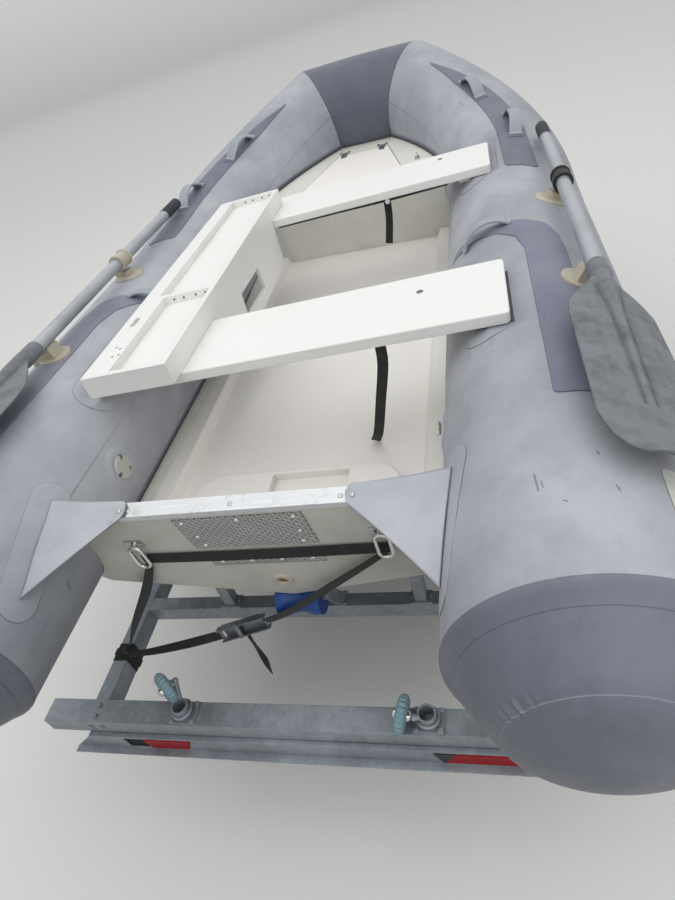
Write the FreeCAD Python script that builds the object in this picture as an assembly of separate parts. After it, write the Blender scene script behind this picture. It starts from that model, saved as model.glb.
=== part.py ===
"""Rigid inflatable boat of 3.2 m on its road trailer, all lengths in millimetres.

X runs forward, Y to port and Z up. The pieces are drawn from two data: X = 0 at the
aft edge of the transom top, and Z = 0 at the plane through the air tubes' centres.
At the end every piece is moved so that the origin is on the floor, under the middle
of the whole length.
"""
import FreeCAD
import Part
import os
from math import sin, cos, tan, radians, degrees, sqrt, hypot, asin, atan2

V = FreeCAD.Vector

# Air tubes (collar)
TUBE_R = 218.0
TUBE_Y = 610.0           # centre line of each side tube
TUBE_HEIGHT = 920.0      # centre plane above the floor
STERN_X = -268.0         # where the dark stern cap begins
RISE_X = 1100.0          # where the tubes begin to rise
TURN_X = 1527.0          # where they begin to turn inboard
SHEER = 5.0              # their upward angle there
BOW_X = 2600.0           # centre line of the blunt bow panel
BOW_Y = 235.0            # half its length, on the centre line
BOW_Z = 227.0            # its height above the side tubes
SKIN_GAP = 0.3           # clearance between the fabric and what lies on it
PATCH_T = 2.0            # dark doublings
PATCH_SIDES = ((1, -8.0), (-1, 0.0))     # side, and how far its doublings sit further inboard

# Transom
TRANSOM_TOP = 96.0
TRANSOM_T = 30.0
CAP_HALF = 251.0
TRANSOM_H = 385.0        # short shaft, measured down the raked face
RAKE = 11.6
DEADRISE = 13.6
EYE_Y, EYE_Z = 272.0, -8.0      # towing eyes on the aft face
PLATE_HALF, PLATE_T = 138.0, 3.0

# Deck
FLOOR_Z = -142.0
FLOOR_T = 12.0
LEDGE_Z = -112.0
LINER_EDGE = 384.0
BULKHEAD_X = 1745.0
STEP_X, STEP_HALF, STEP_H, STEP_CORNER = 345.0, 268.0, 20.0, 70.0
WELL_Y, WELL_SHORT = (-140.0, 62.0), 14.0
BOW_DECK_Z = 116.0

# Seats
SEAT_W = 250.0
SEAT_T = 27.0
SEAT_CORNER, SEAT_EDGE = 12.0, 3.0
SEAT_STBD = 548.0
SEAT_PORT = 452.0
SEAT_Z_STBD = 197.0      # underside at the starboard end, pressed into the soft tube
SEAT_Z_PORT = 152.0
SEATS = (("seat_aft", 367.0), ("seat_forward", 1312.0))

# Tray across the port ends of both seats
TRAY_X0, TRAY_X1 = 322.0, 1478.0
TRAY_Y0, TRAY_Y1 = 200.0, 432.0
TRAY_H = 56.0
TRAY_CELLS = (            # aft end, forward end, outboard rim
    (322.0, 704.0, 74.0),
    (704.0, 1462.0, 52.0),
)
SLOT_X, SLOT_Y = (566.0, 596.0), 398.0

# Locker lid
LID_AFT, LID_FWD = 1800.0, 2262.0
LID_HALF_AFT, LID_HALF_FWD = 225.0, 118.0
LID_T = 16.0

# Oars
OAR_R = 17.5
OAR_SIDES = (            # name, side, angle round the tube from inboard through the top
    ("port", 1, 92.0),
    ("starboard", -1, 114.0),
)
OAR_STANDOFF = 52.0      # shaft centre above the fabric
ROWLOCK_X = 985.0
HOLDER_X = 500.0
OAR_GRIP_X = 1500.0
ROWLOCK_BASE_R = 52.0
ROWLOCK_PIN_R = 6.0
HOLDER_W = 46.0
HOLDER_PAD_R = 44.0
OAR_NECK_X = 400.0
BLADE_L = 500.0
BLADE_W = 165.0

# Trailer, heights above the floor
# Webbing, the place where the tie-down strap goes round the port rail, and its ratchet
STRAP_W, STRAP_T = 25.0, 1.6
SEAT_STRAPS = (          # seat, top forward of its aft edge, top y, foot forward of the same edge, foot y
    (0, 25.0, -262.0, 85.0, -206.0),
    (1, 24.0, -232.0, -50.0, -222.0),
)
WRAP_X = 22.0
RATCHET = (38.0, 157.0, -382.0)
DECK_EYES = ((434.0, -362.0, LEDGE_Z), (1960.0, -268.0, BOW_DECK_Z))

BEAM_DROP = 468.0        # from the tubes' centre plane down to the frame's top
BEAM_TOP = TUBE_HEIGHT - BEAM_DROP
BEAM_X0, BEAM_X1 = -163.0, -103.0
BEAM_HALF = 705.0
GUARD_STAY = 190.0
LAMP_BOARD_H, LAMP_BOARD_HALF = 62.0, 655.0
LAMP_Y = (300.0, 488.0)
RAIL_Y = 556.0
RAIL_W, RAIL_H = 40.0, 60.0
RAIL_BEND_X = 1450.0
CROSS_X = (170.0, 1130.0)
CROSS_W = 40.0
DRAWBAR_X0, DRAWBAR_X1 = 2450.0, 3500.0
DRAWBAR_W = 60.0
WHEEL_R, WHEEL_W = 243.0, 145.0
WHEEL_X, WHEEL_Y = 950.0, 700.0
RIM_R = 127.0
COUPLING_X = 3700.0
JOCKEY_X, JOCKEY_Y = 3150.0, -78.0
JOCKEY_R, JOCKEY_W, JOCKEY_TRAIL = 100.0, 50.0, 45.0

STERN_TIP = -400.0
STERN_PROFILE = (        # station and radius of the stern cap's seams
    (STERN_X, TUBE_R),
    (STERN_X - 36, TUBE_R - 26),
    (STERN_X - 100, TUBE_R - 82),
    (STERN_TIP + 10, 70.0),
    (STERN_TIP, 34.0),
)
MID_X = (STERN_TIP + COUPLING_X) / 2
FLOOR = -TUBE_HEIGHT
PARTS = {}


def at_floor(height):
    """Height above the floor, in the drawing's Z."""
    return FLOOR + height


def box(x0, x1, y0, y1, z0, z1):
    return Part.makeBox(x1 - x0, y1 - y0, z1 - z0, V(x0, y0, z0))


def cylinder(radius, start, end):
    axis = end - start
    return Part.makeCylinder(radius, axis.Length, start, axis)


def prism(points, vector):
    """Closed outline of 3-D points, carried along a vector."""
    loop = list(points) + [points[0]]
    return Part.Face(Part.makePolygon(loop)).extrude(vector)


def mirrored(shape):
    return shape.mirror(V(0, 0, 0), V(0, 1, 0))


def both(shape):
    return Part.makeCompound([shape, mirrored(shape)])


def fused(shapes):
    return shapes[0].fuse(list(shapes[1:])).removeSplitter()


def add(name, shape):
    PARTS[name] = shape


# The collar's centre line: a straight run, an upward arc, and an arc that turns
# inboard in a plane tilted about its first tangent, so that it also ends at BOW_Z
SIN_S, COS_S = sin(radians(SHEER)), cos(radians(SHEER))
RISE_R = (TURN_X - RISE_X) / SIN_S
TURN_Z = RISE_R * (1 - COS_S)
LIFT = (BOW_Z - TURN_Z - (BOW_X - TURN_X) * SIN_S / COS_S) * COS_S
TILT = atan2(LIFT, TUBE_Y - BOW_Y)
SWAY = hypot(LIFT, TUBE_Y - BOW_Y)
REACH = (BOW_X - TURN_X + LIFT * SIN_S) / COS_S
BOW_ANGLE = 2 * atan2(SWAY, REACH)
BOW_R = REACH / sin(BOW_ANGLE)
TURN_POINT = V(TURN_X, TUBE_Y, TURN_Z)
TURN_ALONG = V(COS_S, 0, SIN_S)
TURN_IN = V(-SIN_S * sin(TILT), -cos(TILT), COS_S * sin(TILT))
TURN_AXIS = TURN_ALONG.cross(TURN_IN)


def bow_arc_angle(x):
    """Angle round the last arc at station x."""
    dip = BOW_R * SIN_S * sin(TILT)
    swing = BOW_R * COS_S
    return asin((x - TURN_X + dip) / hypot(swing, dip)) - atan2(dip, swing)


def collar_frame(x):
    """Centre, tangent, outboard and up directions of the port tube at station x."""
    out, up, along = V(0, 1, 0), V(0, 0, 1), V(1, 0, 0)
    if x <= RISE_X:
        return V(x, TUBE_Y, 0), along, out, up
    if x <= TURN_X:
        a = asin((x - RISE_X) / RISE_R)
        centre = V(x, TUBE_Y, RISE_R * (1 - cos(a)))
        return centre, V(cos(a), 0, sin(a)), out, V(-sin(a), 0, cos(a))
    a = bow_arc_angle(x)
    centre = TURN_POINT + TURN_ALONG * (BOW_R * sin(a)) + TURN_IN * (BOW_R * (1 - cos(a)))
    along = TURN_ALONG * cos(a) + TURN_IN * sin(a)
    inward = TURN_IN * cos(a) - TURN_ALONG * sin(a)
    out = inward * -cos(TILT) - TURN_AXIS * sin(TILT)
    up = inward * sin(TILT) - TURN_AXIS * cos(TILT)
    return centre, along, out, up


def sector(x, r0, r1, a0, a1):
    """Face across the tube at station x, between two radii and two angles.

    Angles run from 0 at the inboard side through 90 at the top to 180 outboard.
    """
    centre, _, out, up = collar_frame(x)

    def at(radius, angle):
        a = radians(angle)
        return centre - out * (radius * cos(a)) + up * (radius * sin(a))

    mid = (a0 + a1) / 2
    outer = Part.Arc(at(r1, a0), at(r1, mid), at(r1, a1)).toShape()
    side = Part.LineSegment(at(r1, a1), at(r0, a1)).toShape()
    inner = Part.Arc(at(r0, a1), at(r0, mid), at(r0, a0)).toShape()
    back = Part.LineSegment(at(r0, a0), at(r1, a0)).toShape()
    return Part.Face(Part.Wire([outer, side, inner, back]))


def disc(x, radius):
    centre, along, _, _ = collar_frame(x)
    return Part.Face(Part.Wire(Part.makeCircle(radius, centre, along)))


def carried(section, x0, x1):
    """Section, a function of the station, carried along the port centre line."""
    pieces = []
    start, stop = x0, min(x1, RISE_X)
    if stop > start:
        pieces.append(section(start).extrude(V(stop - start, 0, 0)))
    start, stop = max(x0, RISE_X), min(x1, TURN_X)
    if stop > start:
        turn = asin((stop - RISE_X) / RISE_R) - asin((start - RISE_X) / RISE_R)
        pieces.append(section(start).revolve(V(RISE_X, TUBE_Y, RISE_R), V(0, -1, 0), degrees(turn)))
    start, stop = max(x0, TURN_X), x1
    if stop > start:
        turn = bow_arc_angle(stop) - bow_arc_angle(start)
        centre = TURN_POINT + TURN_IN * BOW_R
        pieces.append(section(start).revolve(centre, TURN_AXIS, degrees(turn)))
    return fused(pieces) if len(pieces) > 1 else pieces[0]


CORNER = V(BOW_X, BOW_Y, BOW_Z)
END_ALONG = collar_frame(BOW_X)[1]
MITRE = (END_ALONG + V(0, -1, 0)).normalize()


def half_space(point, normal):
    """A large block on the side of the plane that its normal points to."""
    size = 3000.0
    block = Part.makeBox(size, size, size, V(-size / 2, -size / 2, 0))
    block.Placement = FreeCAD.Placement(point, FreeCAD.Rotation(V(0, 0, 1), normal))
    return block


def side_tube(radius):
    """Port tube from the stern cap to the mitre with the bow panel."""
    run = carried(lambda x: disc(x, radius), STERN_X, BOW_X)
    tip = Part.makeCylinder(radius, TUBE_R, CORNER, END_ALONG)
    return fused([run, tip]).cut(half_space(CORNER, MITRE))


def bow_tube(radius):
    reach = BOW_Y + TUBE_R
    whole = cylinder(radius, V(BOW_X, -reach, BOW_Z), V(BOW_X, reach, BOW_Z))
    keep = whole.common(half_space(CORNER, MITRE))
    other = V(CORNER.x, -CORNER.y, CORNER.z)
    return keep.common(half_space(other, V(MITRE.x, -MITRE.y, MITRE.z)))


def clear_of_collar(shape):
    """Cut away what the tubes and their gap take, on both sides and at the bow."""
    return shape.cut([CLEAR_PORT, CLEAR_STARBOARD, CLEAR_BOW])


def seat_under(y):
    """Height of the seats' underside at y: they slope a little down to port."""
    share = (SEAT_PORT - y) / (SEAT_PORT + SEAT_STBD)
    return SEAT_Z_PORT + (SEAT_Z_STBD - SEAT_Z_PORT) * share


def seat_block(x, grow, top):
    """A seat board's volume, grown all round, with a given height above its underside."""
    ends = [V(x - grow, y, seat_under(y) - grow) for y in (-SEAT_STBD - grow, SEAT_PORT + grow)]
    points = ends + [p + V(0, 0, top + grow) for p in reversed(ends)]
    return prism(points, V(SEAT_W + 2 * grow, 0, 0))


def dented(shape):
    """Take out of a soft piece what the seat boards press flat."""
    return shape.cut([seat_block(x, SKIN_GAP, TUBE_R) for _, x in SEATS])


def raked(shape):
    """Turn a shape drawn upright about the transom's top edge to its rake."""
    shape.rotate(V(0, 0, TRANSOM_TOP), V(0, 1, 0), -RAKE)
    return shape


def make_collar():
    global CLEAR_PORT, CLEAR_STARBOARD, CLEAR_BOW
    port = side_tube(TUBE_R)
    add("collar_port", dented(port))
    add("collar_starboard", dented(mirrored(port)))
    add("bow_panel", bow_tube(TUBE_R))
    CLEAR_PORT = side_tube(TUBE_R + SKIN_GAP)
    CLEAR_STARBOARD = mirrored(CLEAR_PORT)
    CLEAR_BOW = bow_tube(TUBE_R + SKIN_GAP)
    profile = [V(STERN_X, 0, 0)] + [V(x, 0, r) for x, r in STERN_PROFILE] + [V(STERN_TIP, 0, 0)]
    cap = Part.Face(Part.makePolygon(profile + [profile[0]])).revolve(V(0, 0, 0), V(1, 0, 0), 360)
    cap.translate(V(0, TUBE_Y, 0))
    add("stern_caps", both(cap))


# Hull sections: station, keel height, chine inboard of and below the tube's centre
HULL_SECTIONS = (
    (0.0, -281.0, 170.0, 176.0),
    (1150.0, -281.0, 170.0, 176.0),
    (BULKHEAD_X, -272.0, 110.0, 208.0),
    (2150.0, -170.0, 110.0, 205.0),
    (2440.0, -45.0, 110.0, 205.0),
)


def hull_section(x, keel, inboard, drop, deep):
    """Outline of half the hull across one station, from the keel outward."""
    centre = collar_frame(x)[0]
    y, z = centre.y, centre.z
    half = [(0, keel), (y - inboard, z - drop), (y - inboard + 50, z - drop + 12)]
    if deep:
        under = FLOOR_Z - FLOOR_T
        half += [(y - 150, z - 96), (LINER_EDGE + SKIN_GAP, LEDGE_Z), (LINER_EDGE + SKIN_GAP, under), (0, under)]
    else:
        half += [(y - 150, min(z - 40, BOW_DECK_Z - 6)), (y - 150, BOW_DECK_Z), (0, BOW_DECK_Z)]
    return [V(x, a, b) for a, b in half]


def hull_bay(fore, aft, deep):
    wires = []
    for row in (aft, fore):
        points = hull_section(*row, deep)
        wires.append(Part.makePolygon(points + [points[0]]))
    return Part.makeLoft(wires, True, True)


def behind_transom():
    """Everything aft of the transom board's forward face."""
    face = TRANSOM_T / cos(radians(RAKE)) + SKIN_GAP
    return half_space(V(face, 0, TRANSOM_TOP), V(-cos(radians(RAKE)), 0, -sin(radians(RAKE))))


def make_hull():
    rows = HULL_SECTIONS
    section = hull_section(*rows[0], True)
    straight = prism(section, V(rows[1][0] - rows[0][0], 0, 0)).cut(behind_transom())
    bays = [straight, hull_bay(rows[2], rows[1], True), hull_bay(rows[3], rows[2], False),
            hull_bay(rows[4], rows[3], False)]
    half = bays[0].fuse(bays[1:])
    hull = fused([half, mirrored(half)])
    hull = clear_of_collar(hull)
    recess = lid_outline(SKIN_GAP + 1.5, LID_T + 1.0)
    well = lid_outline(-28.0, BOW_DECK_Z - (-60.0))
    hull = hull.cut([recess, well])
    add("hull", hull)


def lid_outline(grow, depth):
    """Lid's trapezium, grown all round, reaching down from the bow deck."""
    points = [V(LID_AFT - grow, s * (LID_HALF_AFT + grow), BOW_DECK_Z) for s in (1, -1)]
    points += [V(LID_FWD + grow, s * (LID_HALF_FWD + grow), BOW_DECK_Z) for s in (-1, 1)]
    return prism(points, V(0, 0, -depth))


def make_liner():
    """Cockpit floor with side ledges, and the low moulded step with a well behind the transom."""
    edge, inner = LINER_EDGE, LINER_EDGE - 49
    half = [(0, FLOOR_Z - FLOOR_T), (edge, FLOOR_Z - FLOOR_T), (edge, LEDGE_Z), (inner, LEDGE_Z),
            (inner - 14, FLOOR_Z), (0, FLOOR_Z)]
    outline = half + [(-y, z) for y, z in reversed(half[1:-1])]
    start = 60.0
    liner = prism([V(start, y, z) for y, z in outline], V(BULKHEAD_X - SKIN_GAP - start, 0, 0))
    step = box(start, STEP_X, -STEP_HALF, STEP_HALF, FLOOR_Z - 1, FLOOR_Z + STEP_H)
    front = [e for e in step.Edges if abs(e.CenterOfMass.x - STEP_X) < 1 and e.Length < STEP_H + 2]
    step = step.makeFillet(STEP_CORNER, front)
    well = box(start - 1, STEP_X - WELL_SHORT, WELL_Y[0], WELL_Y[1], FLOOR_Z, FLOOR_Z + STEP_H + 1)
    liner = liner.fuse(step.cut(well)).cut(behind_transom())
    add("deck_liner", clear_of_collar(liner))


def make_transom():
    low = TRANSOM_TOP - TRANSOM_H
    side = [(CAP_HALF, TRANSOM_TOP), (390, 52), (470, -60), (470, -140), (440, -182)]
    outline = [V(0, y, z) for y, z in side] + [V(0, 0, low)] + [V(0, -y, z) for y, z in reversed(side)]
    board = raked(prism(outline, V(TRANSOM_T, 0, 0)))
    add("transom_board", clear_of_collar(board))
    wall, lip = 2.5, 14.0
    outer = box(-wall, TRANSOM_T + wall, -CAP_HALF, CAP_HALF, TRANSOM_TOP - lip, TRANSOM_TOP + wall)
    cap = outer.cut(box(0, TRANSOM_T, -CAP_HALF, CAP_HALF, TRANSOM_TOP - lip, TRANSOM_TOP))
    add("transom_cap", raked(cap))
    upper = box(-PLATE_T, 0, -PLATE_HALF, PLATE_HALF, -42, TRANSOM_TOP - lip - 8)
    lower = box(-PLATE_T, 0, 7 - PLATE_HALF, PLATE_HALF - 7, -122, -88)
    add("engine_plates", Part.makeCompound([raked(upper), raked(lower)]))
    ring = cylinder(24, V(0, 0, -206), V(-6, 0, -206)).cut(cylinder(14, V(0, 0, -206), V(-6, 0, -206)))
    add("drain_socket", raked(ring))
    bolts = []
    for y in (EYE_Y, -EYE_Y):
        bolts.append(raked(u_bolt(y, EYE_Z)))
    add("u_bolts", Part.makeCompound(bolts))


def u_bolt(y, z):
    """Towing eye: a backing pad, a short neck and a long oval loop of rod that hangs from it."""
    rod, half, drop, stand, lean = 4.0, 14.0, 40.0, 15.0, 6.0
    pad = box(-4, 0, y - 22, y + 22, z - 10, z + 10)
    neck = cylinder(6.5, V(-3, y, z), V(-stand, y, z))
    top, low = V(-stand, y, z - half), V(-stand - lean, y, z - half - drop)
    down = (low - top).normalize()
    across = V(0, 1, 0)
    face = across.cross(down)
    legs = [cylinder(rod, top + across * (s * half), low + across * (s * half)) for s in (1, -1)]
    bends = []
    for centre, way in ((top, -1), (low, 1)):
        ring = Part.makeTorus(half, rod, centre, face)
        bends.append(ring.common(half_space(centre, down * way)))
    return fused([pad, neck] + legs + bends)


def make_gussets():
    """Doubled fabric corners from the tubes to the transom's cap, each with one rivet at its tip."""
    tip, thick, nose = V(14, CAP_HALF - 20, TRANSOM_TOP + 7.5), 4.0, 18.0
    fore = surface_frame(46.0, 32.0)[0]
    aft = surface_frame(-172.0, 17.5)[0]
    along = (fore - aft).normalize()
    normal = (fore - tip).cross(aft - tip).normalize()
    if normal.z < 0:
        normal = normal * -1
    out = along.cross(normal)
    if out.y < 0:
        out = out * -1
    points = [tip + along * nose, fore + out * 20, aft + out * 20, tip - along * nose]
    gusset = prism(points, normal * thick)
    corners = [e for e in gusset.Edges if abs(e.Length - thick) < 0.1 and e.CenterOfMass.y < CAP_HALF + 40]
    gusset = clear_of_collar(gusset.makeFillet(nose * 0.7, corners))
    centre = tip + out * 14
    rivet = cylinder(4.0, centre - normal * 14, centre + normal * (thick + 1.5))
    gusset = gusset.fuse(rivet).cut([PARTS["transom_board"], PARTS["transom_cap"]])
    add("gussets", both(gusset))


def make_seats():
    for name, x in SEATS:
        board = seat_block(x, 0.0, SEAT_T)
        corners = [e for e in board.Edges if abs(e.Length - SEAT_T) < 1]
        board = board.makeFillet(SEAT_CORNER, corners)
        rims = [e for e in board.Edges if abs(e.CenterOfMass.z - seat_under(e.CenterOfMass.y)) < 0.5
                or abs(e.CenterOfMass.z - seat_under(e.CenterOfMass.y) - SEAT_T) < 0.5]
        add(name, board.makeFillet(SEAT_EDGE, rims))


def make_tray():
    """Open side tray on the seats: two cells, a wide outboard rim with a finger slot, and a skirt below."""
    z0 = seat_under(TRAY_Y0) + SEAT_T + SKIN_GAP
    drop = seat_under(TRAY_Y0) - seat_under(TRAY_Y1)
    wall, floor_t, slant, skirt_t = 16.0, 8.0, 14.0, 12.0
    width = TRAY_Y1 - TRAY_Y0
    foot = [V(TRAY_X0, TRAY_Y0, z0), V(TRAY_X0, TRAY_Y1, z0 - drop)]
    rim = [p + V(0, 0, TRAY_H) for p in reversed(foot)]
    body = prism(foot + rim, V(TRAY_X1 - TRAY_X0, 0, 0))
    for x0, x1, outer in TRAY_CELLS:
        reach = width - wall - outer
        low, high = z0 + floor_t, z0 + TRAY_H + 10
        side = [V(x0 + wall, TRAY_Y0 + wall, low), V(x1 - slant, TRAY_Y0 + wall, low),
                V(x1, TRAY_Y0 + wall, high), V(x0 + wall, TRAY_Y0 + wall, high)]
        body = body.cut(prism(side, V(0, reach, -drop * reach / width)))
    slot = [cylinder(8, V(x, SLOT_Y, z0), V(x, SLOT_Y, z0 + TRAY_H)) for x in SLOT_X]
    slot.append(box(SLOT_X[0], SLOT_X[1], SLOT_Y - 8, SLOT_Y + 8, z0, z0 + TRAY_H))
    body = body.cut(fused(slot).common(box(TRAY_X0, TRAY_X1, TRAY_Y0, TRAY_Y1, z0 + TRAY_H - 30, z0 + TRAY_H)))
    skirt_x0 = SEATS[0][1] + SEAT_W + 6
    skirt_x1 = SEATS[1][1] - 6
    skirt = box(skirt_x0, skirt_x1, TRAY_Y0, TRAY_Y0 + skirt_t, 30.0, z0 + 4)
    inner = [V(x, TRAY_Y0 - 1, z) for x, z in
             ((skirt_x0 + 215, 76), (skirt_x0 + 425, 70), (skirt_x0 + 415, z0 - 48), (skirt_x0 + 225, z0 - 44))]
    window = prism(inner, V(0, skirt_t + 2, 0))
    add("side_tray", fused([body, skirt.cut(window)]))


def surface_frame(x, angle):
    """Point on the port tube's skin, its normal and the tube's direction there."""
    centre, along, out, up = collar_frame(x)
    a = radians(angle)
    normal = up * sin(a) - out * cos(a)
    return centre + normal * TUBE_R, normal, along


HANDLES = ((1640.0, 98.0), (2060.0, 86.0))      # station and angle
GRAB_X, GRAB_ANGLES, GRAB_RISE = 836.0, (46.0, 82.0), 26.0

# Dark wear patches on one tube: station, and angle round the tube from inboard through the top
AFT_PATCH = ((92, 87), (92, 111), (640, 111), (730, 109), (795, 103), (832, 90), (852, 75), (884, 56), (905, 33),
             (878, 29), (846, 53), (800, 71), (740, 83), (660, 87))
FORE_PATCH = ((1280, 85), (1240, 110), (1500, 108), (1750, 105), (2020, 100), (2250, 92), (2410, 82), (2180, 78),
              (1900, 80), (1600, 83))


def skin_patch(outline, inward, thickness):
    """Fabric doubling on the port tube under an outline of stations and angles."""
    xs = [p[0] for p in outline]
    inner, outer = TUBE_R + SKIN_GAP, TUBE_R + SKIN_GAP + thickness
    band = carried(lambda x: sector(x, inner, outer, 2, 178), min(xs), max(xs))
    seen = [surface_frame(x, a + inward)[0] for x, a in outline]
    return band.common(prism([V(p.x, p.y, 0) for p in seen], V(0, 0, 1000)))


def make_patches():
    pieces = []
    for (side, inward), (_, _, oar_angle) in zip(PATCH_SIDES, OAR_SIDES):
        pads = []
        for x, radius in ((ROWLOCK_X, ROWLOCK_BASE_R), (HOLDER_X, HOLDER_PAD_R + 6)):
            foot, normal, _ = surface_frame(x, oar_angle)
            pads.append(cylinder(radius + SKIN_GAP, foot - normal * 20, foot + normal * 20))
        for outline in (AFT_PATCH, FORE_PATCH):
            patch = skin_patch(outline, inward, PATCH_T).cut(pads)
            pieces.append(patch if side > 0 else mirrored(patch))
    add("wear_patches", dented(Part.makeCompound(pieces)))


def arch(x, angle, span, height, width, thick):
    """Webbing handle standing on the skin, spanning along the tube."""
    foot, normal, along = surface_frame(x, angle)
    across = along.cross(normal)

    def at(s, h):
        return foot + along * s + normal * h

    def base(s):
        return (surface_frame(x + s * along.x, angle)[0] - foot).dot(normal) + PATCH_T + 4 * SKIN_GAP

    half = span / 2
    low, high = base(-half), base(half)
    outer = [at(-half, low), at(-half * 0.55, height), at(half * 0.55, height), at(half, high)]
    inner = [at(half - thick * 2.4, high), at(half * 0.5, height - thick), at(-half * 0.5, height - thick),
             at(-half + thick * 2.4, low)]
    solid = prism(outer + inner, across * width)
    solid.translate(across * (-width / 2))
    return solid


def grab(x, angle0, angle1, width):
    """Grab handle round the port tube: a raised band between two feet on the doubling."""
    foot, under, top = TUBE_R + PATCH_T + 4 * SKIN_GAP, TUBE_R + GRAB_RISE, TUBE_R + GRAB_RISE + 6
    x0, x1 = x - width / 2, x + width / 2
    pieces = [(under, top, angle0, angle1), (foot, top, angle0, angle0 + 3), (foot, top, angle1 - 3, angle1)]
    return fused([carried(lambda at, row=row: sector(at, *row), x0, x1) for row in pieces])


def make_handles():
    pieces = []
    for side, inward in PATCH_SIDES:
        handles = [arch(x, angle + inward, 220.0, 46.0, 40.0, 5.0) for x, angle in HANDLES]
        handles.append(grab(GRAB_X, GRAB_ANGLES[0] + inward, GRAB_ANGLES[1] + inward, 34.0))
        pieces += [h if side > 0 else mirrored(h) for h in handles]
    add("carry_handles", Part.makeCompound(pieces))


def make_valves():
    foot, normal, _ = surface_frame(246.0, 6.0)
    valve = cylinder(31, foot + normal * SKIN_GAP - normal * 1.5, foot + normal * 5)
    boss = cylinder(24, foot + normal * 5, foot + normal * 9)
    add("air_valves", both(fused([valve, boss]).cut(CLEAR_PORT)))


def oar_line(x, angle):
    """Centre of a stowed oar at station x, drawn on the port tube."""
    foot, normal, _ = surface_frame(x, angle)
    return foot + normal * OAR_STANDOFF


def blade_outline(start, along, across):
    """Leaf-shaped blade: curved shoulders, nearly straight sides and a rounded tip."""
    def at(s, w):
        return start - along * s + across * w

    half = BLADE_W / 2
    edges = []
    for side in (1, -1):
        shoulder = [at(0, side * 22), at(62, side * half * 0.66), at(150, side * half * 0.98)]
        tip = [at(BLADE_L - 100, side * half), at(BLADE_L - 26, side * half * 0.80), at(BLADE_L, side * half * 0.3)]
        edges += [Part.Arc(*shoulder).toShape(), Part.LineSegment(shoulder[2], tip[0]).toShape(),
                  Part.Arc(*tip).toShape()]
    edges.append(Part.LineSegment(at(0, 22), at(0, -22)).toShape())
    edges.append(Part.LineSegment(at(BLADE_L, half * 0.3), at(BLADE_L, -half * 0.3)).toShape())
    return Part.Face(Part.Wire(Part.sortEdges(edges)[0]))


def make_oar(angle):
    """Shaft, blade, rowlock and holder of one oar, stowed on the port tube at an angle."""
    normal = surface_frame(ROWLOCK_X, angle)[1]
    level = oar_line(OAR_NECK_X, angle)
    along = (oar_line(RISE_X, angle) - level).normalize()
    across = along.cross(normal)

    def on(x):
        return level + along * (x - OAR_NECK_X)

    shaft = cylinder(OAR_R, on(OAR_NECK_X - 60), on(OAR_GRIP_X - 130))
    grip = cylinder(OAR_R + 2, on(OAR_GRIP_X - 130), on(OAR_GRIP_X))
    collar = cylinder(OAR_R + 5, on(ROWLOCK_X - 26), on(ROWLOCK_X + 26))
    rings = [cylinder(OAR_R + 8, on(ROWLOCK_X + a), on(ROWLOCK_X + a + 8)) for a in (-30, 22)]
    pivot = on(ROWLOCK_X)
    pin = cylinder(ROWLOCK_PIN_R, pivot - normal * 8, pivot - normal * (OAR_STANDOFF - 16))
    yoke = cylinder(13, pivot - normal * 10, pivot - normal * 29)
    oar = fused([shaft, grip, collar, yoke, pin] + rings)
    start, tip = on(OAR_NECK_X), 4.5
    blade = blade_outline(start - normal * tip, along, across).extrude(normal * (2 * tip))
    wall, neck = 3.0, 64.0
    spine = cylinder(OAR_R + wall, start + along * 8, start - along * neck)
    rib_end = start - along * (BLADE_L * 0.8)
    rib = [start + across * OAR_R * 0.8, rib_end + across * 5, rib_end - across * 5, start - across * OAR_R * 0.8]
    rib = prism(rib, normal * 24)
    rib.translate(normal * -12)
    blade = fused([blade, rib, spine]).cut(cylinder(OAR_R, start + along * 10, start - along * 60))
    foot = surface_frame(ROWLOCK_X, angle)[0]
    base = Part.makeCone(ROWLOCK_BASE_R, ROWLOCK_BASE_R - 12, 14, foot - normal * 8, normal)
    boss = cylinder(21, foot + normal * 4, foot + normal * 20)
    ear = prism([foot + along * a - across * b + normal * 4 for a, b in ((-15, 12), (15, 12), (10, 40), (-10, 40))],
                normal * 13)
    hole = prism([foot + along * a - across * b + normal * 3 for a, b in ((-6, 25), (6, 25), (5, 35), (-5, 35))],
                 normal * 16)
    bore = cylinder(ROWLOCK_PIN_R + SKIN_GAP, foot + normal * 8, foot + normal * 21)
    rowlock = fused([base, boss, ear]).cut([bore, hole, CLEAR_PORT])
    hold = surface_frame(HOLDER_X, angle)[0]
    rise = OAR_STANDOFF - OAR_R - 1.0
    fin = [hold - across * a + normal * h for a, h in
           ((60, -14), (60, 3), (26, 17), (12, rise + 7), (-10, rise + 7), (-14, 4), (-14, -8))]
    fin = [p - along * (HOLDER_W / 2) for p in fin]
    pad = cylinder(HOLDER_PAD_R, hold - normal * 8, hold + normal * 4)
    channel = cylinder(OAR_R + 1.0, on(HOLDER_X - 60), on(HOLDER_X + 60))
    above = half_space(hold + normal * (OAR_STANDOFF - OAR_R * 0.5), normal)
    holder = fused([pad, prism(fin, along * HOLDER_W)]).cut([channel, above, CLEAR_PORT])
    return oar, blade, rowlock, holder


def make_oars():
    bases, holders = [], []
    for name, side, angle in OAR_SIDES:
        pieces = make_oar(angle)
        if side < 0:
            pieces = [mirrored(p) for p in pieces]
        add("oar_" + name, pieces[0])
        add("oar_blade_" + name, pieces[1])
        bases.append(pieces[2])
        holders.append(pieces[3])
    add("rowlock_bases", Part.makeCompound(bases))
    add("oar_holders", Part.makeCompound(holders))


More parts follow.
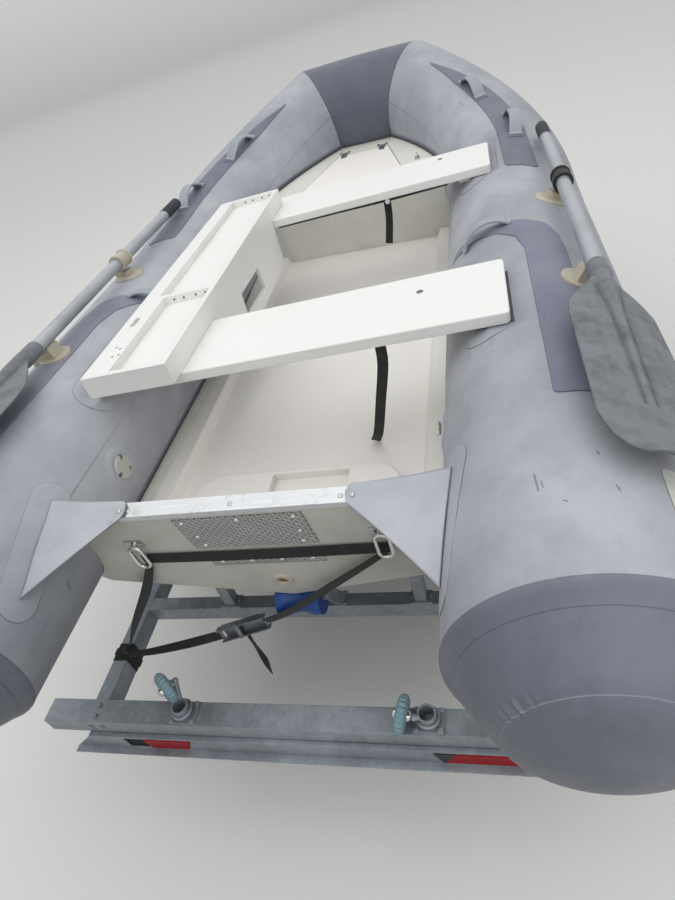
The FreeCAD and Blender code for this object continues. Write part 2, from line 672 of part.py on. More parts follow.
def make_lid():
    lid = lid_outline(-1.0, LID_T)
    hinges = [box(LID_FWD - 42, LID_FWD - 2, y - 12, y + 12, BOW_DECK_Z, BOW_DECK_Z + 5) for y in (-90, 90)]
    add("locker_lid", lid)
    knuckles = [cylinder(5, V(LID_FWD + 4, y - 14, BOW_DECK_Z + 6), V(LID_FWD + 4, y + 14, BOW_DECK_Z + 6))
                for y in (-90, 90)]
    leaves = [fused([h.fuse(box(LID_FWD - 4, LID_FWD + 4, y - 12, y + 12, BOW_DECK_Z + 1, BOW_DECK_Z + 5)), k])
              for h, k, y in zip(hinges, knuckles, (-90, 90))]
    add("lid_hinges", Part.makeCompound(leaves))
    plates = [box(LID_FWD + 2, LID_FWD + 34, y + a, y + b, BOW_DECK_Z + SKIN_GAP, BOW_DECK_Z + 6)
              for y in (-90, 90) for a, b in ((-24, -14.3), (14.3, 24))]
    add("hinge_plates", Part.makeCompound(plates))


def make_trailer_frame():
    top, bottom = at_floor(BEAM_TOP), at_floor(BEAM_TOP - RAIL_H)
    add("rear_beam", box(BEAM_X0, BEAM_X1, -BEAM_HALF, BEAM_HALF, at_floor(BEAM_TOP - 50), top))
    half_w = DRAWBAR_W / 2
    inner, outer = RAIL_Y - RAIL_W / 2, RAIL_Y + RAIL_W / 2
    nose_x = 2900.0
    outline = [(BEAM_X1 + SKIN_GAP, inner), (BEAM_X1 + SKIN_GAP, outer), (RAIL_BEND_X, outer),
               (nose_x, half_w + SKIN_GAP), (nose_x - 130, half_w + SKIN_GAP), (RAIL_BEND_X - 8, inner)]
    rail = prism([V(x, y, bottom) for x, y in outline], V(0, 0, top - bottom))
    add("frame_rails", both(rail))
    drawbar = box(DRAWBAR_X0, DRAWBAR_X1, -half_w, half_w, bottom, top)
    add("drawbar", drawbar)
    crosses = [box(x, x + CROSS_W, -inner + SKIN_GAP, inner - SKIN_GAP, top - 50, top) for x in CROSS_X]
    bow_x = KEEL_ROLLERS[2][1]
    reach = rail_inner_y(bow_x)
    crosses.append(box(bow_x - 22, bow_x + 22, -reach, reach, top - 50, top))
    add("cross_members", Part.makeCompound(crosses))


def make_axle():
    tube_x = WHEEL_X + 110
    tube_top = at_floor(BEAM_TOP - RAIL_H) - SKIN_GAP
    half = RAIL_Y + 20
    axle = box(tube_x - 25, tube_x + 25, -half, half, tube_top - 50, tube_top)
    hub_z = at_floor(WHEEL_R)
    pivot_z = tube_top - 25
    arms = []
    for s in (1, -1):
        y0, y1 = s * (half + SKIN_GAP), s * (half + 22)
        a, b = V(tube_x, y0, pivot_z), V(WHEEL_X, y0, hub_z)
        along = (b - a).normalize()
        side = V(0, 1, 0).cross(along) * 22
        plank = prism([a + side, b + side, b - side, a - side], V(0, y1 - y0, 0))
        ends = [cylinder(22, p, p + V(0, y1 - y0, 0)) for p in (a, b)]
        stub = cylinder(14, V(WHEEL_X, y1, hub_z), V(WHEEL_X, s * (WHEEL_Y + 30), hub_z))
        arms.append(fused([plank] + ends + [stub]))
    add("axle", axle)
    add("wheel_arms", Part.makeCompound(arms))


def wheel(side):
    """Tyre and pressed steel rim of one road wheel, about its own axle line."""
    half = WHEEL_W / 2
    centre = V(WHEEL_X, side * WHEEL_Y, at_floor(WHEEL_R))
    bead, seat = 45.0, RIM_R + SKIN_GAP
    tread = [V(0, -bead, seat), V(0, -bead, RIM_R + 14), V(0, -half, RIM_R + 45), V(0, -half + 20, WHEEL_R),
             V(0, half - 20, WHEEL_R), V(0, half, RIM_R + 45), V(0, bead, RIM_R + 14), V(0, bead, seat)]
    tyre = Part.Face(Part.makePolygon(tread + [tread[0]])).revolve(V(0, 0, 0), V(0, 1, 0), 360)
    lip = bead + SKIN_GAP
    barrel = [(-bead - 6, RIM_R + 12), (-lip, RIM_R + 12), (-lip, RIM_R), (lip, RIM_R), (lip, RIM_R + 12),
              (bead + 6, RIM_R + 12), (bead + 6, RIM_R - 8), (14, RIM_R - 14), (26, 46), (26, 17),
              (18, 17), (18, 40), (6, RIM_R - 14), (-bead - 6, RIM_R - 8)]
    section = [V(0, a * side, r) for a, r in barrel]
    rim = Part.Face(Part.makePolygon(section + [section[0]])).revolve(V(0, 0, 0), V(0, 1, 0), 360)
    hub = cylinder(34, V(0, -side * 40, 0), V(0, side * 5.7, 0))
    hub = hub.fuse(cylinder(34, V(0, side * 5.7, 0), V(0, side * 17.7, 0)))
    hub = hub.cut(cylinder(15, V(0, -side * 60, 0), V(0, side * 34, 0)))
    cap = cylinder(24, V(0, side * 26, 0), V(0, side * 44, 0))
    cap = cap.cut(cylinder(15, V(0, side * 20, 0), V(0, side * 36, 0)))
    for shape in (tyre, rim, hub, cap):
        shape.translate(centre)
    return tyre, rim.fuse([hub, cap])


def make_wheels():
    for name, side in (("port", 1), ("starboard", -1)):
        tyre, rim = wheel(side)
        add("tyre_" + name, tyre)
        add("rim_" + name, rim)


def make_mudguards():
    inner, thick, half = WHEEL_R + 42, 4.0, 95.0
    centre = V(WHEEL_X, 0, at_floor(WHEEL_R))
    y0 = WHEEL_Y - half
    ring = cylinder(inner + thick, centre + V(0, y0, 0), centre + V(0, y0 + 2 * half, 0))
    ring = ring.cut(cylinder(inner, centre + V(0, y0 + thick, 0), centre + V(0, y0 + 2 * half, 0)))
    room = inner + 100
    ring = ring.cut(box(WHEEL_X - room, WHEEL_X + room, y0 - 1, y0 + 2 * half + 1, FLOOR - 100, at_floor(WHEEL_R + 10)))
    web_cut = cylinder(inner - 70, centre + V(0, y0 - 1, 0), centre + V(0, y0 + thick + 1, 0))
    guard = ring.cut(web_cut)
    stay_y0 = RAIL_Y + RAIL_W / 2 + SKIN_GAP
    stays = [box(x - 15, x + 15, stay_y0, y0 - SKIN_GAP, at_floor(BEAM_TOP - 40), at_floor(BEAM_TOP - 34))
             for x in (WHEEL_X - GUARD_STAY, WHEEL_X + GUARD_STAY)]
    flanges = [box(x - 15, x + 15, y0 - 4, y0, at_floor(BEAM_TOP - 62), at_floor(BEAM_TOP - 20))
               for x in (WHEEL_X - GUARD_STAY, WHEEL_X + GUARD_STAY)]
    guard = guard.fuse([s.fuse(f) for s, f in zip(stays, flanges)])
    add("mudguards", both(guard))


def keel_z(x):
    rows = HULL_SECTIONS
    for fore, aft in zip(rows[1:], rows):
        if x <= fore[0]:
            return aft[1] + (fore[1] - aft[1]) * (x - aft[0]) / (fore[0] - aft[0])
    return rows[-1][1]


KEEL_ROLLERS = (         # station, and station of the bracket's foot
    (102.0, CROSS_X[0] + 20),
    (CROSS_X[1] + 20, CROSS_X[1] + 20),
    (2080.0, 2080.0),
)
ROLLER_R, ROLLER_HALF = 45.0, 55.0


def make_keel_rollers():
    rollers, brackets = [], []
    pin_r = 9.0
    bore = pin_r + SKIN_GAP
    top = at_floor(BEAM_TOP)
    for x, foot in KEEL_ROLLERS:
        z = keel_z(x + ROLLER_R * 0.2) - ROLLER_R - 0.6
        waist = [V(0, -ROLLER_HALF, bore), V(0, -ROLLER_HALF, ROLLER_R), V(0, -ROLLER_HALF + 18, ROLLER_R),
                 V(0, -8, ROLLER_R - 8), V(0, 8, ROLLER_R - 8), V(0, ROLLER_HALF - 18, ROLLER_R),
                 V(0, ROLLER_HALF, ROLLER_R), V(0, ROLLER_HALF, bore)]
        roller = Part.Face(Part.makePolygon(waist + [waist[0]])).revolve(V(0, 0, 0), V(0, 1, 0), 360)
        roller.translate(V(x, 0, z))
        rollers.append(roller)
        pin = cylinder(pin_r, V(x, -ROLLER_HALF - 14, z), V(x, ROLLER_HALF + 14, z))
        cheeks = []
        for y in (-ROLLER_HALF - 10, ROLLER_HALF + 4):
            side = [V(x - 18, y, z + 16), V(x + 18, y, z + 16), V(foot + 22, y, top + SKIN_GAP),
                    V(foot - 22, y, top + SKIN_GAP)]
            cheeks.append(prism(side, V(0, 6, 0)))
        plate = box(foot - 24, foot + 24, -ROLLER_HALF - 14, ROLLER_HALF + 14, top + SKIN_GAP, top + 6)
        brackets.append(fused([pin, plate] + cheeks))
    add("keel_rollers", Part.makeCompound(rollers))
    add("keel_roller_brackets", Part.makeCompound(brackets))


def rail_inner_y(x):
    """Inner face of the converging rail at station x, less the corner's width."""
    x1, y1 = 2900.0 - 130, DRAWBAR_W / 2
    x0, y0 = RAIL_BEND_X - 8, RAIL_Y - RAIL_W / 2
    return y0 + (y1 - y0) * (x + 22 - x0) / (x1 - x0) - SKIN_GAP


BUNK_Y, BUNK_W, BUNK_H = 270.0, 60.0, 36.0
BUNK_X0, BUNK_X1 = 150.0, 1180.0


def make_bunks():
    def bottom(y):
        return -281.0 + y * (281.0 - 176.0) / (TUBE_Y - 170)

    y0, y1 = BUNK_Y - BUNK_W / 2, BUNK_Y + BUNK_W / 2
    upper = [V(BUNK_X0, y0, bottom(y0) - 0.6), V(BUNK_X0, y1, bottom(y1) - 0.6)]
    lower = [p - V(0, 0, BUNK_H) for p in reversed(upper)]
    bunk = prism(upper + lower, V(BUNK_X1 - BUNK_X0, 0, 0))
    add("bunks", both(bunk))
    brackets = []
    top = at_floor(BEAM_TOP) + SKIN_GAP
    for x in (CROSS_X[0] + 20, CROSS_X[1] + 20):
        under = bottom(y0) - BUNK_H - 0.9
        head = prism([V(x - 20, y0, under), V(x - 20, y1, bottom(y1) - BUNK_H - 0.9),
                      V(x - 20, y1, bottom(y1) - BUNK_H - 6.9), V(x - 20, y0, under - 6)], V(40, 0, 0))
        post = box(x - 15, x + 15, BUNK_Y - 15, BUNK_Y + 15, top, under - 1)
        foot = box(x - 20, x + 20, BUNK_Y - 28, BUNK_Y + 28, top, top + 6)
        brackets.append(fused([head, post.common(box(x - 15, x + 15, y0, y1, top, under - 1)), foot]))
    add("bunk_brackets", both(Part.makeCompound(brackets)))


# Side rollers on the rear beam: side, post from the centre line, roller centre aft, outboard and above the beam
WOBBLE_ROLLERS = (
    (1, 300.0, (36.0, 42.0, 56.0), (-0.80, 0.59, 0.10)),
    (-1, 300.0, (-8.0, -52.0, 48.0), (0.15, -0.96, 0.20)),
)
WOBBLE_R, WOBBLE_W = 42.0, 34.0
POST_R, POST_H = 21.0, 40.0


def make_side_rollers():
    top = at_floor(BEAM_TOP) + SKIN_GAP
    x = (BEAM_X0 + BEAM_X1) / 2
    spin_r, gap = 6.0, 2 * SKIN_GAP
    posts, rollers = [], []
    for side, y, (dx, dy, dz), way in WOBBLE_ROLLERS:
        base = V(x, y, top)
        axis = V(*way).normalize()
        centre = base + V(dx, dy, dz)
        outer, inner = cylinder(POST_R, base, base + V(0, 0, POST_H)), cylinder(POST_R - 4, base, base + V(0, 0, 99))
        plate = box(BEAM_X0 + 2, BEAM_X1 - 2, y - 34, y + 34, top, top + 6)
        ring = Part.makeTorus(POST_R + 3, 3.5, base + V(0, 0, POST_H * 0.55), V(0, 0, 1))
        near = 1 if (base - centre).dot(axis) > 0 else -1
        end = centre + axis * (near * (WOBBLE_W / 2 + 9))
        neck = cylinder(7, end, base + V(0, 0, POST_H * 0.6))
        neck = neck.fuse(Part.makeSphere(8, end))
        spindle = cylinder(spin_r, end, centre - axis * (near * (WOBBLE_W / 2 + 4)))
        post = fused([outer, plate, ring, neck, spindle]).cut(inner)
        half = axis * (WOBBLE_W / 2)
        bore = cylinder(spin_r + gap, centre - half * 2, centre + half * 2)
        tread = [V(0, -WOBBLE_W / 2, 0), V(0, -WOBBLE_W / 2, WOBBLE_R - 9), V(0, -WOBBLE_W / 4, WOBBLE_R),
                 V(0, WOBBLE_W / 4, WOBBLE_R), V(0, WOBBLE_W / 2, WOBBLE_R - 9), V(0, WOBBLE_W / 2, 0)]
        roller = Part.Face(Part.makePolygon(tread + [tread[0]])).revolve(V(0, 0, 0), V(0, 1, 0), 360)
        roller.Placement = FreeCAD.Placement(centre, FreeCAD.Rotation(V(0, 1, 0), axis))
        roller = roller.cut([bore, post])
        posts.append(post if side > 0 else mirrored(post))
        rollers.append(roller if side > 0 else mirrored(roller))
    add("side_roller_posts", Part.makeCompound(posts))
    add("side_rollers", Part.makeCompound(rollers))


def make_lamp_board():
    """Folded lamp board under the rear beam, with slanted ends and a lip, and its two inset lamps."""
    top = at_floor(BEAM_TOP - 50) - SKIN_GAP
    x0, low = BEAM_X0 - 12.0, top - LAMP_BOARD_H
    outline = [V(x0, -LAMP_BOARD_HALF, low), V(x0, LAMP_BOARD_HALF, low), V(x0, LAMP_BOARD_HALF - 62, top - 6),
               V(x0, 62 - LAMP_BOARD_HALF, top - 6)]
    plate = prism(outline, V(3, 0, 0))
    shelf = box(x0, BEAM_X1 - 6, 62 - LAMP_BOARD_HALF, LAMP_BOARD_HALF - 62, top - 6, top - 3)
    lip = box(x0 - 18, x0, -LAMP_BOARD_HALF, LAMP_BOARD_HALF, low, low + 3)
    hangers = [box(x0 + 8, BEAM_X1 - 10, s * 540 - 20, s * 540 + 20, top - 4, top) for s in (1, -1)]
    board = fused([plate, shelf, lip] + hangers)
    inner, outer = LAMP_Y
    lamps = []
    for s in (1, -1):
        hole = [V(x0 - 1, s * inner, top - 10), V(x0 - 1, s * (outer + 6), top - 10), V(x0 - 1, s * outer, low + 9),
                V(x0 - 1, s * (inner + 18), low + 9)]
        board = board.cut(prism(hole, V(5, 0, 0)))
    front = [V(x0 - 2, inner + 2, top - 11), V(x0 - 2, outer - 52, top - 11), V(x0 - 2, outer - 66, low + 10),
             V(x0 - 2, inner + 20, low + 10)]
    lens = prism(front, V(5 + SKIN_GAP, 0, 0))
    housing = box(x0 + 3 + SKIN_GAP, x0 + 34, inner - 8, outer + 12, low + 5, top - 8)
    lamps.append(both(lens.fuse(housing)))
    add("lamp_board", board)
    add("lamps", Part.makeCompound(lamps))


def make_coupling():
    top = at_floor(BEAM_TOP)
    body_x0 = DRAWBAR_X1 - 150
    shell = box(body_x0, COUPLING_X - 60, -34, 34, top + SKIN_GAP, top + 34)
    head = cylinder(38, V(COUPLING_X - 38, 0, top - 14), V(COUPLING_X - 38, 0, top + 44))
    neck = box(DRAWBAR_X1 + SKIN_GAP, COUPLING_X - 40, -26, 26, top - 10, top + 30)
    handle = prism([V(COUPLING_X - 60, -14, top + 40), V(COUPLING_X - 190, -14, top + 82),
                    V(COUPLING_X - 250, -14, top + 82), V(COUPLING_X - 250, -14, top + 70),
                    V(COUPLING_X - 190, -14, top + 66), V(COUPLING_X - 90, -14, top + 30)], V(0, 28, 0))
    socket = Part.makeSphere(25.4, V(COUPLING_X - 38, 0, top - 2))
    mouth = cylinder(25.4, V(COUPLING_X - 38, 0, top - 30), V(COUPLING_X - 38, 0, top - 2))
    add("coupling", fused([shell, head, neck, handle]).cut([socket, mouth]))


def make_winch_post():
    top = at_floor(BEAM_TOP)
    bow = BOW_X + TUBE_R
    stop_r = 40.0
    stop_x = bow + stop_r + SKIN_GAP
    post_x = stop_x + 62
    post = box(post_x, post_x + 50, -25, 25, top + SKIN_GAP, BOW_Z + 60)
    foot = box(post_x - 50, post_x + 100, -40, 40, top + SKIN_GAP, top + 8)
    arms = [box(stop_x - 16, post_x + 50, y, y + 6, BOW_Z - 16, BOW_Z + 16) for y in (-46 - 6, 46)]
    web = [box(post_x, post_x + 50, a, b, BOW_Z - 16, BOW_Z + 16) for a, b in ((-46, -25), (25, 46))]
    pin = cylinder(8, V(stop_x, -56, BOW_Z), V(stop_x, 56, BOW_Z))
    add("winch_post", fused([post, foot, pin] + arms + web))
    add("bow_stop", cylinder(stop_r, V(stop_x, -44, BOW_Z), V(stop_x, 44, BOW_Z))
        .cut(cylinder(8 + SKIN_GAP, V(stop_x, -44, BOW_Z), V(stop_x, 44, BOW_Z))))
    wz = top + 430
    plates = [box(post_x - 90, post_x + 40, y, y + 4, wz - 40, wz + 40) for y in (-29.3, 25.3)]
    drum = cylinder(22, V(post_x - 50, -26, wz), V(post_x - 50, 26, wz))
    shaft = cylinder(7, V(post_x - 50, -28, wz), V(post_x - 50, -70, wz))
    crank = box(post_x - 58, post_x - 42, -74, -68, wz - 150, wz + 10)
    knob = cylinder(13, V(post_x - 50, -74, wz - 140), V(post_x - 50, -150, wz - 140))
    add("winch", fused([fused(plates + [drum]), shaft, crank, knob]))


def make_jockey():
    top = at_floor(BEAM_TOP)
    x, y = JOCKEY_X, JOCKEY_Y
    tube_r = 24.0
    low = at_floor(2 * JOCKEY_R + 62)
    tube = cylinder(tube_r, V(x, y, low), V(x, y, top + 210))
    screw = cylinder(10, V(x, y, top + 210), V(x, y, top + 244))
    crank = box(x - 8, x + 130, y - 8, y + 8, top + 236, top + 244)
    knob = cylinder(12, V(x + 120, y, top + 244), V(x + 120, y, top + 320))
    add("jockey_leg", fused([tube, screw, crank, knob]))
    y_bar = -DRAWBAR_W / 2 - SKIN_GAP
    clamp = box(x - 36, x + 36, y - 32, y_bar, top - 60, top - 4)
    clamp = clamp.cut(cylinder(tube_r + SKIN_GAP, V(x, y, top - 61), V(x, y, top)))
    add("jockey_clamp", clamp)
    hub = V(x - JOCKEY_TRAIL, y, at_floor(JOCKEY_R))
    crown_z = at_floor(2 * JOCKEY_R + 16)
    crown = box(x - JOCKEY_TRAIL - 26, x + 26, y - 36, y + 36, crown_z, crown_z + 8)
    stem = cylinder(14, V(x, y, crown_z + 8), V(x, y, low - 0.6))
    legs = [prism([V(x - JOCKEY_TRAIL - 26, a, crown_z), V(x + 26, a, crown_z), V(hub.x + 16, a, hub.z - 14),
                   V(hub.x - 16, a, hub.z - 14)], V(0, 5, 0)) for a in (y - 36, y + 31)]
    pin = cylinder(8, hub - V(0, 36, 0), hub + V(0, 36, 0))
    add("jockey_fork", fused([crown, stem, pin] + legs))
    half = JOCKEY_W / 2
    profile = [V(0, -half, 9), V(0, -half, JOCKEY_R - 12), V(0, -half + 8, JOCKEY_R), V(0, half - 8, JOCKEY_R),
               V(0, half, JOCKEY_R - 12), V(0, half, 9)]
    roller = Part.Face(Part.makePolygon(profile + [profile[0]])).revolve(V(0, 0, 0), V(0, 1, 0), 360)
    roller.translate(hub)
    add("jockey_wheel", roller)


def band(start, end, across, width=STRAP_W, thick=STRAP_T):
    """Straight run of flat webbing; across gives its width's direction."""
    along = (end - start).normalize()
    side = (across - along * across.dot(along)).normalize()
    face = along.cross(side)
    corners = [start + side * (a * width / 2) + face * (b * thick / 2) for a, b in ((-1, -1), (1, -1), (1, 1), (-1, 1))]
    return prism(corners, end - start)


def make_seat_straps():
    """Webbing that hangs from under each seat to the deck."""
    straps = []
    for seat, top_x, top_y, foot_x, foot_y in SEAT_STRAPS:
        edge = SEATS[seat][1]
        top = V(edge + top_x, top_y, seat_under(top_y) - SKIN_GAP)
        straps.append(band(V(edge + foot_x, foot_y, FLOOR_Z + 1), top, V(0, 1, 0)))
    shape = Part.makeCompound(straps)
    add("seat_straps", shape.cut([PARTS["deck_liner"], PARTS["seat_aft"], PARTS["seat_forward"]]))


def make_tie_down():
    """Taut strap through the towing eyes, down to the ratchet and round the port rail."""
    aft = raked(Part.Vertex(-PLATE_T - 2, 0, EYE_Z - 48)).Point
    face = V(cos(radians(RAKE)), 0, sin(radians(RAKE)))
    up = V(-face.z, 0, face.x)
    left, right = aft + V(0, EYE_Y + 10, 0), aft + V(0, -EYE_Y - 10, 0)
    top = at_floor(BEAM_TOP)
    wrap = V(WRAP_X, RAIL_Y - 28, top + 6)
    fold = V(RATCHET[0] + 10, RATCHET[1] - 66, RATCHET[2] + 32)
    hand = V(RATCHET[0] - 8, RATCHET[1] + 62, RATCHET[2] + 2)
    runs = [band(left, right, up),
            band(right + V(-3, 14, -12), fold, up),
            band(hand, wrap + V(0, 0, 2), V(1, 0, 0.3)),
            band(left + V(-3, -10, -12), wrap + V(26, 8, 8), V(1, 0, 0))]
    shape = fused(runs)
    outer = box(WRAP_X - 14, WRAP_X + 42, RAIL_Y - RAIL_W / 2 - 2.2, RAIL_Y + RAIL_W / 2 + 2.2, top - RAIL_H - 2.2, top + 2.2)
    loop = outer.cut(box(WRAP_X - 15, WRAP_X + 43, RAIL_Y - RAIL_W / 2 - 0.3, RAIL_Y + RAIL_W / 2 + 0.3,
                         top - RAIL_H - 0.3, top + 0.3))
    knot = box(WRAP_X - 12, WRAP_X + 40, RAIL_Y - 34, RAIL_Y - 4, top + 2, top + 12)
    ratchet = make_ratchet(fold, hand)
    shape = fused([shape, loop, knot])
    tail = band(V(RATCHET[0], RATCHET[1] - 6, RATCHET[2] - 4), V(RATCHET[0] - 42, RATCHET[1] - 44, RATCHET[2] - 118), V(1, 0.4, 0))
    shape = Part.makeCompound([shape, tail])
    shape = shape.cut([PARTS[n] for n in ("u_bolts", "transom_board", "engine_plates", "frame_rails", "hull", "drain_socket")]
                      + [ratchet])
    add("tie_down_strap", shape)
    add("strap_ratchet", ratchet)


def make_ratchet(start, end):
    """Ratchet buckle on the strap: two side plates, a slotted drum and a folded handle."""
    along = (end - start).normalize()
    side = V(0.25, 0, 1)
    side = (side - along * side.dot(along)).normalize()
    face = along.cross(side)

    def block(a0, a1, b0, b1, c0, c1):
        corner = start + along * a0 + side * b0 + face * c0
        return prism([corner, corner + side * (b1 - b0), corner + side * (b1 - b0) + face * (c1 - c0),
                      corner + face * (c1 - c0)], along * (a1 - a0))

    reach = (end - start).Length
    plates = [block(-4, reach + 4, b, b + 3, -9, 9) for b in (-19, 16)]
    drum = cylinder(8, start + along * (reach * 0.62) - side * 22, start + along * (reach * 0.62) + side * 22)
    handle = block(reach * 0.1, reach * 0.95, -19, 19, 9, 13)
    bars = [cylinder(3, start + along * a - side * 21, start + along * a + side * 21) for a in (2, reach - 2)]
    return fused(plates + [drum, handle] + bars)


def make_deck_fittings():
    """Two small pad eyes on the starboard side ledge and by the bow deck."""
    eyes = []
    for x, y, z in DECK_EYES:
        base = box(x - 20, x + 20, y - 9, y + 9, z, z + 3)
        ring = Part.makeTorus(12, 3, V(x, y, z + 8), V(0, 1, 0)).common(box(x - 20, x + 20, y - 5, y + 5, z + 1, z + 30))
        eyes.append(base.fuse(ring))
    add("deck_fittings", Part.makeCompound(eyes))


def main():
    make_collar()
    make_hull()
    make_liner()
    make_transom()
    make_gussets()
    make_seats()
    make_tray()
    make_patches()
    make_handles()
    make_valves()
    make_oars()
    make_lid()
    make_trailer_frame()
    make_axle()
    make_wheels()
    make_mudguards()
    make_keel_rollers()
    make_bunks()
    make_side_rollers()
    make_lamp_board()
    make_coupling()
    make_winch_post()
    make_jockey()
    make_seat_straps()
    make_tie_down()
    make_deck_fittings()
    os.makedirs("parts", exist_ok=True)
    for name, shape in PARTS.items():
        shape.translate(V(-MID_X, 0, TUBE_HEIGHT))
        shape.exportStep("parts/" + name + ".step")
        bounds = shape.BoundBox
        print("%-26s %2d solids %5s %9.0f cm3  x %6.0f %6.0f y %6.0f %6.0f z %6.0f %6.0f" % (
            name, len(shape.Solids), shape.isValid(), shape.Volume / 1000, bounds.XMin, bounds.XMax,
            bounds.YMin, bounds.YMax, bounds.ZMin, bounds.ZMax))


main()
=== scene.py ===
import math

import bmesh
import bpy
import numpy as np
from mathutils import Matrix, Vector


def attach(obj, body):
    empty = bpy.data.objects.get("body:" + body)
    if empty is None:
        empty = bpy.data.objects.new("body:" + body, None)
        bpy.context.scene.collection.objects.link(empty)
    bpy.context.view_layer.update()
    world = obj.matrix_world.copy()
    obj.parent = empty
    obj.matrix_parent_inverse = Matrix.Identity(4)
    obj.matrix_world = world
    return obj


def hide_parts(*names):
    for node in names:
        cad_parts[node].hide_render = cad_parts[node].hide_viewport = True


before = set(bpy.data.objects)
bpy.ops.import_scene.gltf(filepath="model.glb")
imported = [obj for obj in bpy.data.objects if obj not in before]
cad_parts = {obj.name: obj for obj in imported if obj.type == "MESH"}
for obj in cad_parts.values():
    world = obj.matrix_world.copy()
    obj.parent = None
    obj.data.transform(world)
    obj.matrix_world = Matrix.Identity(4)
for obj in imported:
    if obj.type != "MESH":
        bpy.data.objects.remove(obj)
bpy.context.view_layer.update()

bl_info = {
    "name": "Rigid inflatable boat on its trailer",
    "version": (1, 0, 0),
    "blender": (4, 5, 0),
    "location": "3D View > Sidebar > Boat",
    "description": "Fabric, gelcoat, metal and webbing looks for a small rigid inflatable boat "
                   "on a road trailer",
    "category": "Object",
}

ROOT = "boat_and_trailer"
SIDES = ((1, "port"), (-1, "starboard"))

# The boat's drawing starts at the transom's top edge and the air tubes' centre plane.
# Lengths are in metres, angles round a tube in degrees: 0 inboard, 90 top, 180 outboard.
SHIFT = np.array([-1.650, 0.0, 0.920])

# Air tubes
TUBE_R = 0.218
TUBE_Y = 0.610
STERN_X = -0.268
RISE_X = 1.100
TURN_X = 1.527
SHEER = math.radians(5.0)
BOW_X, BOW_Y, BOW_Z = 2.600, 0.235, 0.227
LAP_ANGLE = 24.5          # the lap seam that runs the length of each side tube
PATCH_T = 0.0022          # thickness of a doubling
PORT_INWARD = -8.0        # the port doublings sit this much further inboard
LUMP_RISE = 0.0007

# Transom
TRANSOM_TOP = 0.096
RAKE = math.radians(11.6)
CAP_HALF = 0.251
PLATE_HALF = 0.138

# Seat boards
SEAT_STBD, SEAT_PORT, SEAT_W, SEAT_T = 0.548, 0.452, 0.250, 0.027
SEAT_Z_STBD, SEAT_Z_PORT = 0.197, 0.152
SEAT_X = (0.367, 1.312)   # aft edges
SEAT_SINK, SEAT_FADE = 0.002, 0.045       # how far they press into a tube, and how far round them it fades out

# Deck
LEDGE_Z, BULKHEAD_X = -0.112, 1.745

# Oars
OAR_ANGLES = {"port": 92.0, "starboard": 114.0}
OAR_STANDOFF, BLADE_X, BLADE_L = 0.052, 0.400, 0.500

# Trailer
BEAM_TOP = -0.468
BEAM_X0, BEAM_X1 = -0.163, -0.103
RAIL_Y, RAIL_W, RAIL_H = 0.556, 0.040, 0.060
WHEEL_X, WHEEL_Y, WHEEL_R = 0.950, 0.700, 0.243
FLOOR = -0.920

SIN_S, COS_S = math.sin(SHEER), math.cos(SHEER)
RISE_R = (TURN_X - RISE_X) / SIN_S
TURN_Z = RISE_R * (1 - COS_S)
LIFT = (BOW_Z - TURN_Z - (BOW_X - TURN_X) * SIN_S / COS_S) * COS_S
TILT = math.atan2(LIFT, TUBE_Y - BOW_Y)
REACH = (BOW_X - TURN_X + LIFT * SIN_S) / COS_S
BOW_TURN = 2 * math.atan2(math.hypot(LIFT, TUBE_Y - BOW_Y), REACH)
BOW_R = REACH / math.sin(BOW_TURN)
RUN_1 = RISE_X - STERN_X
RUN_2 = RUN_1 + RISE_R * SHEER
RUN_3 = RUN_2 + BOW_R * BOW_TURN

TURN_ALONG = np.array([COS_S, 0.0, SIN_S])
TURN_IN = np.array([-SIN_S * math.sin(TILT), -math.cos(TILT), COS_S * math.sin(TILT)])
TURN_AXIS = np.cross(TURN_ALONG, TURN_IN)


def linear(code):
    """sRGB hex colour as a linear RGBA tuple."""
    channels = [int(code[i:i + 2], 16) / 255 for i in (1, 3, 5)]
    return tuple(c / 12.92 if c <= 0.04045 else ((c + 0.055) / 1.055) ** 2.4 for c in channels) + (1.0,)


def smooth(low, high, value):
    """Smooth step from 0 at low to 1 at high."""
    t = np.clip((value - low) / (high - low), 0, 1)
    return t * t * (3 - 2 * t)


def stack(*columns):
    """Broadcast values side by side as the coordinates of points."""
    return np.stack(np.broadcast_arrays(*columns), -1)


def unit(vectors):
    """Vectors at length 1."""
    vectors = np.asarray(vectors, float)
    return vectors / np.linalg.norm(vectors, axis=-1, keepdims=True)


def around(phi, across, up):
    """Directions that turn from across towards up by each angle."""
    return np.cos(phi)[:, None] * across + np.sin(phi)[:, None] * up


def raked(points):
    """Turn points drawn on an upright transom about its top edge to the rake."""
    points = np.asarray(points, float)
    x, z = points[..., 0], points[..., 2] - TRANSOM_TOP
    return stack(x * math.cos(RAKE) - z * math.sin(RAKE), points[..., 1],
                 x * math.sin(RAKE) + z * math.cos(RAKE) + TRANSOM_TOP)


# The air tubes' shape


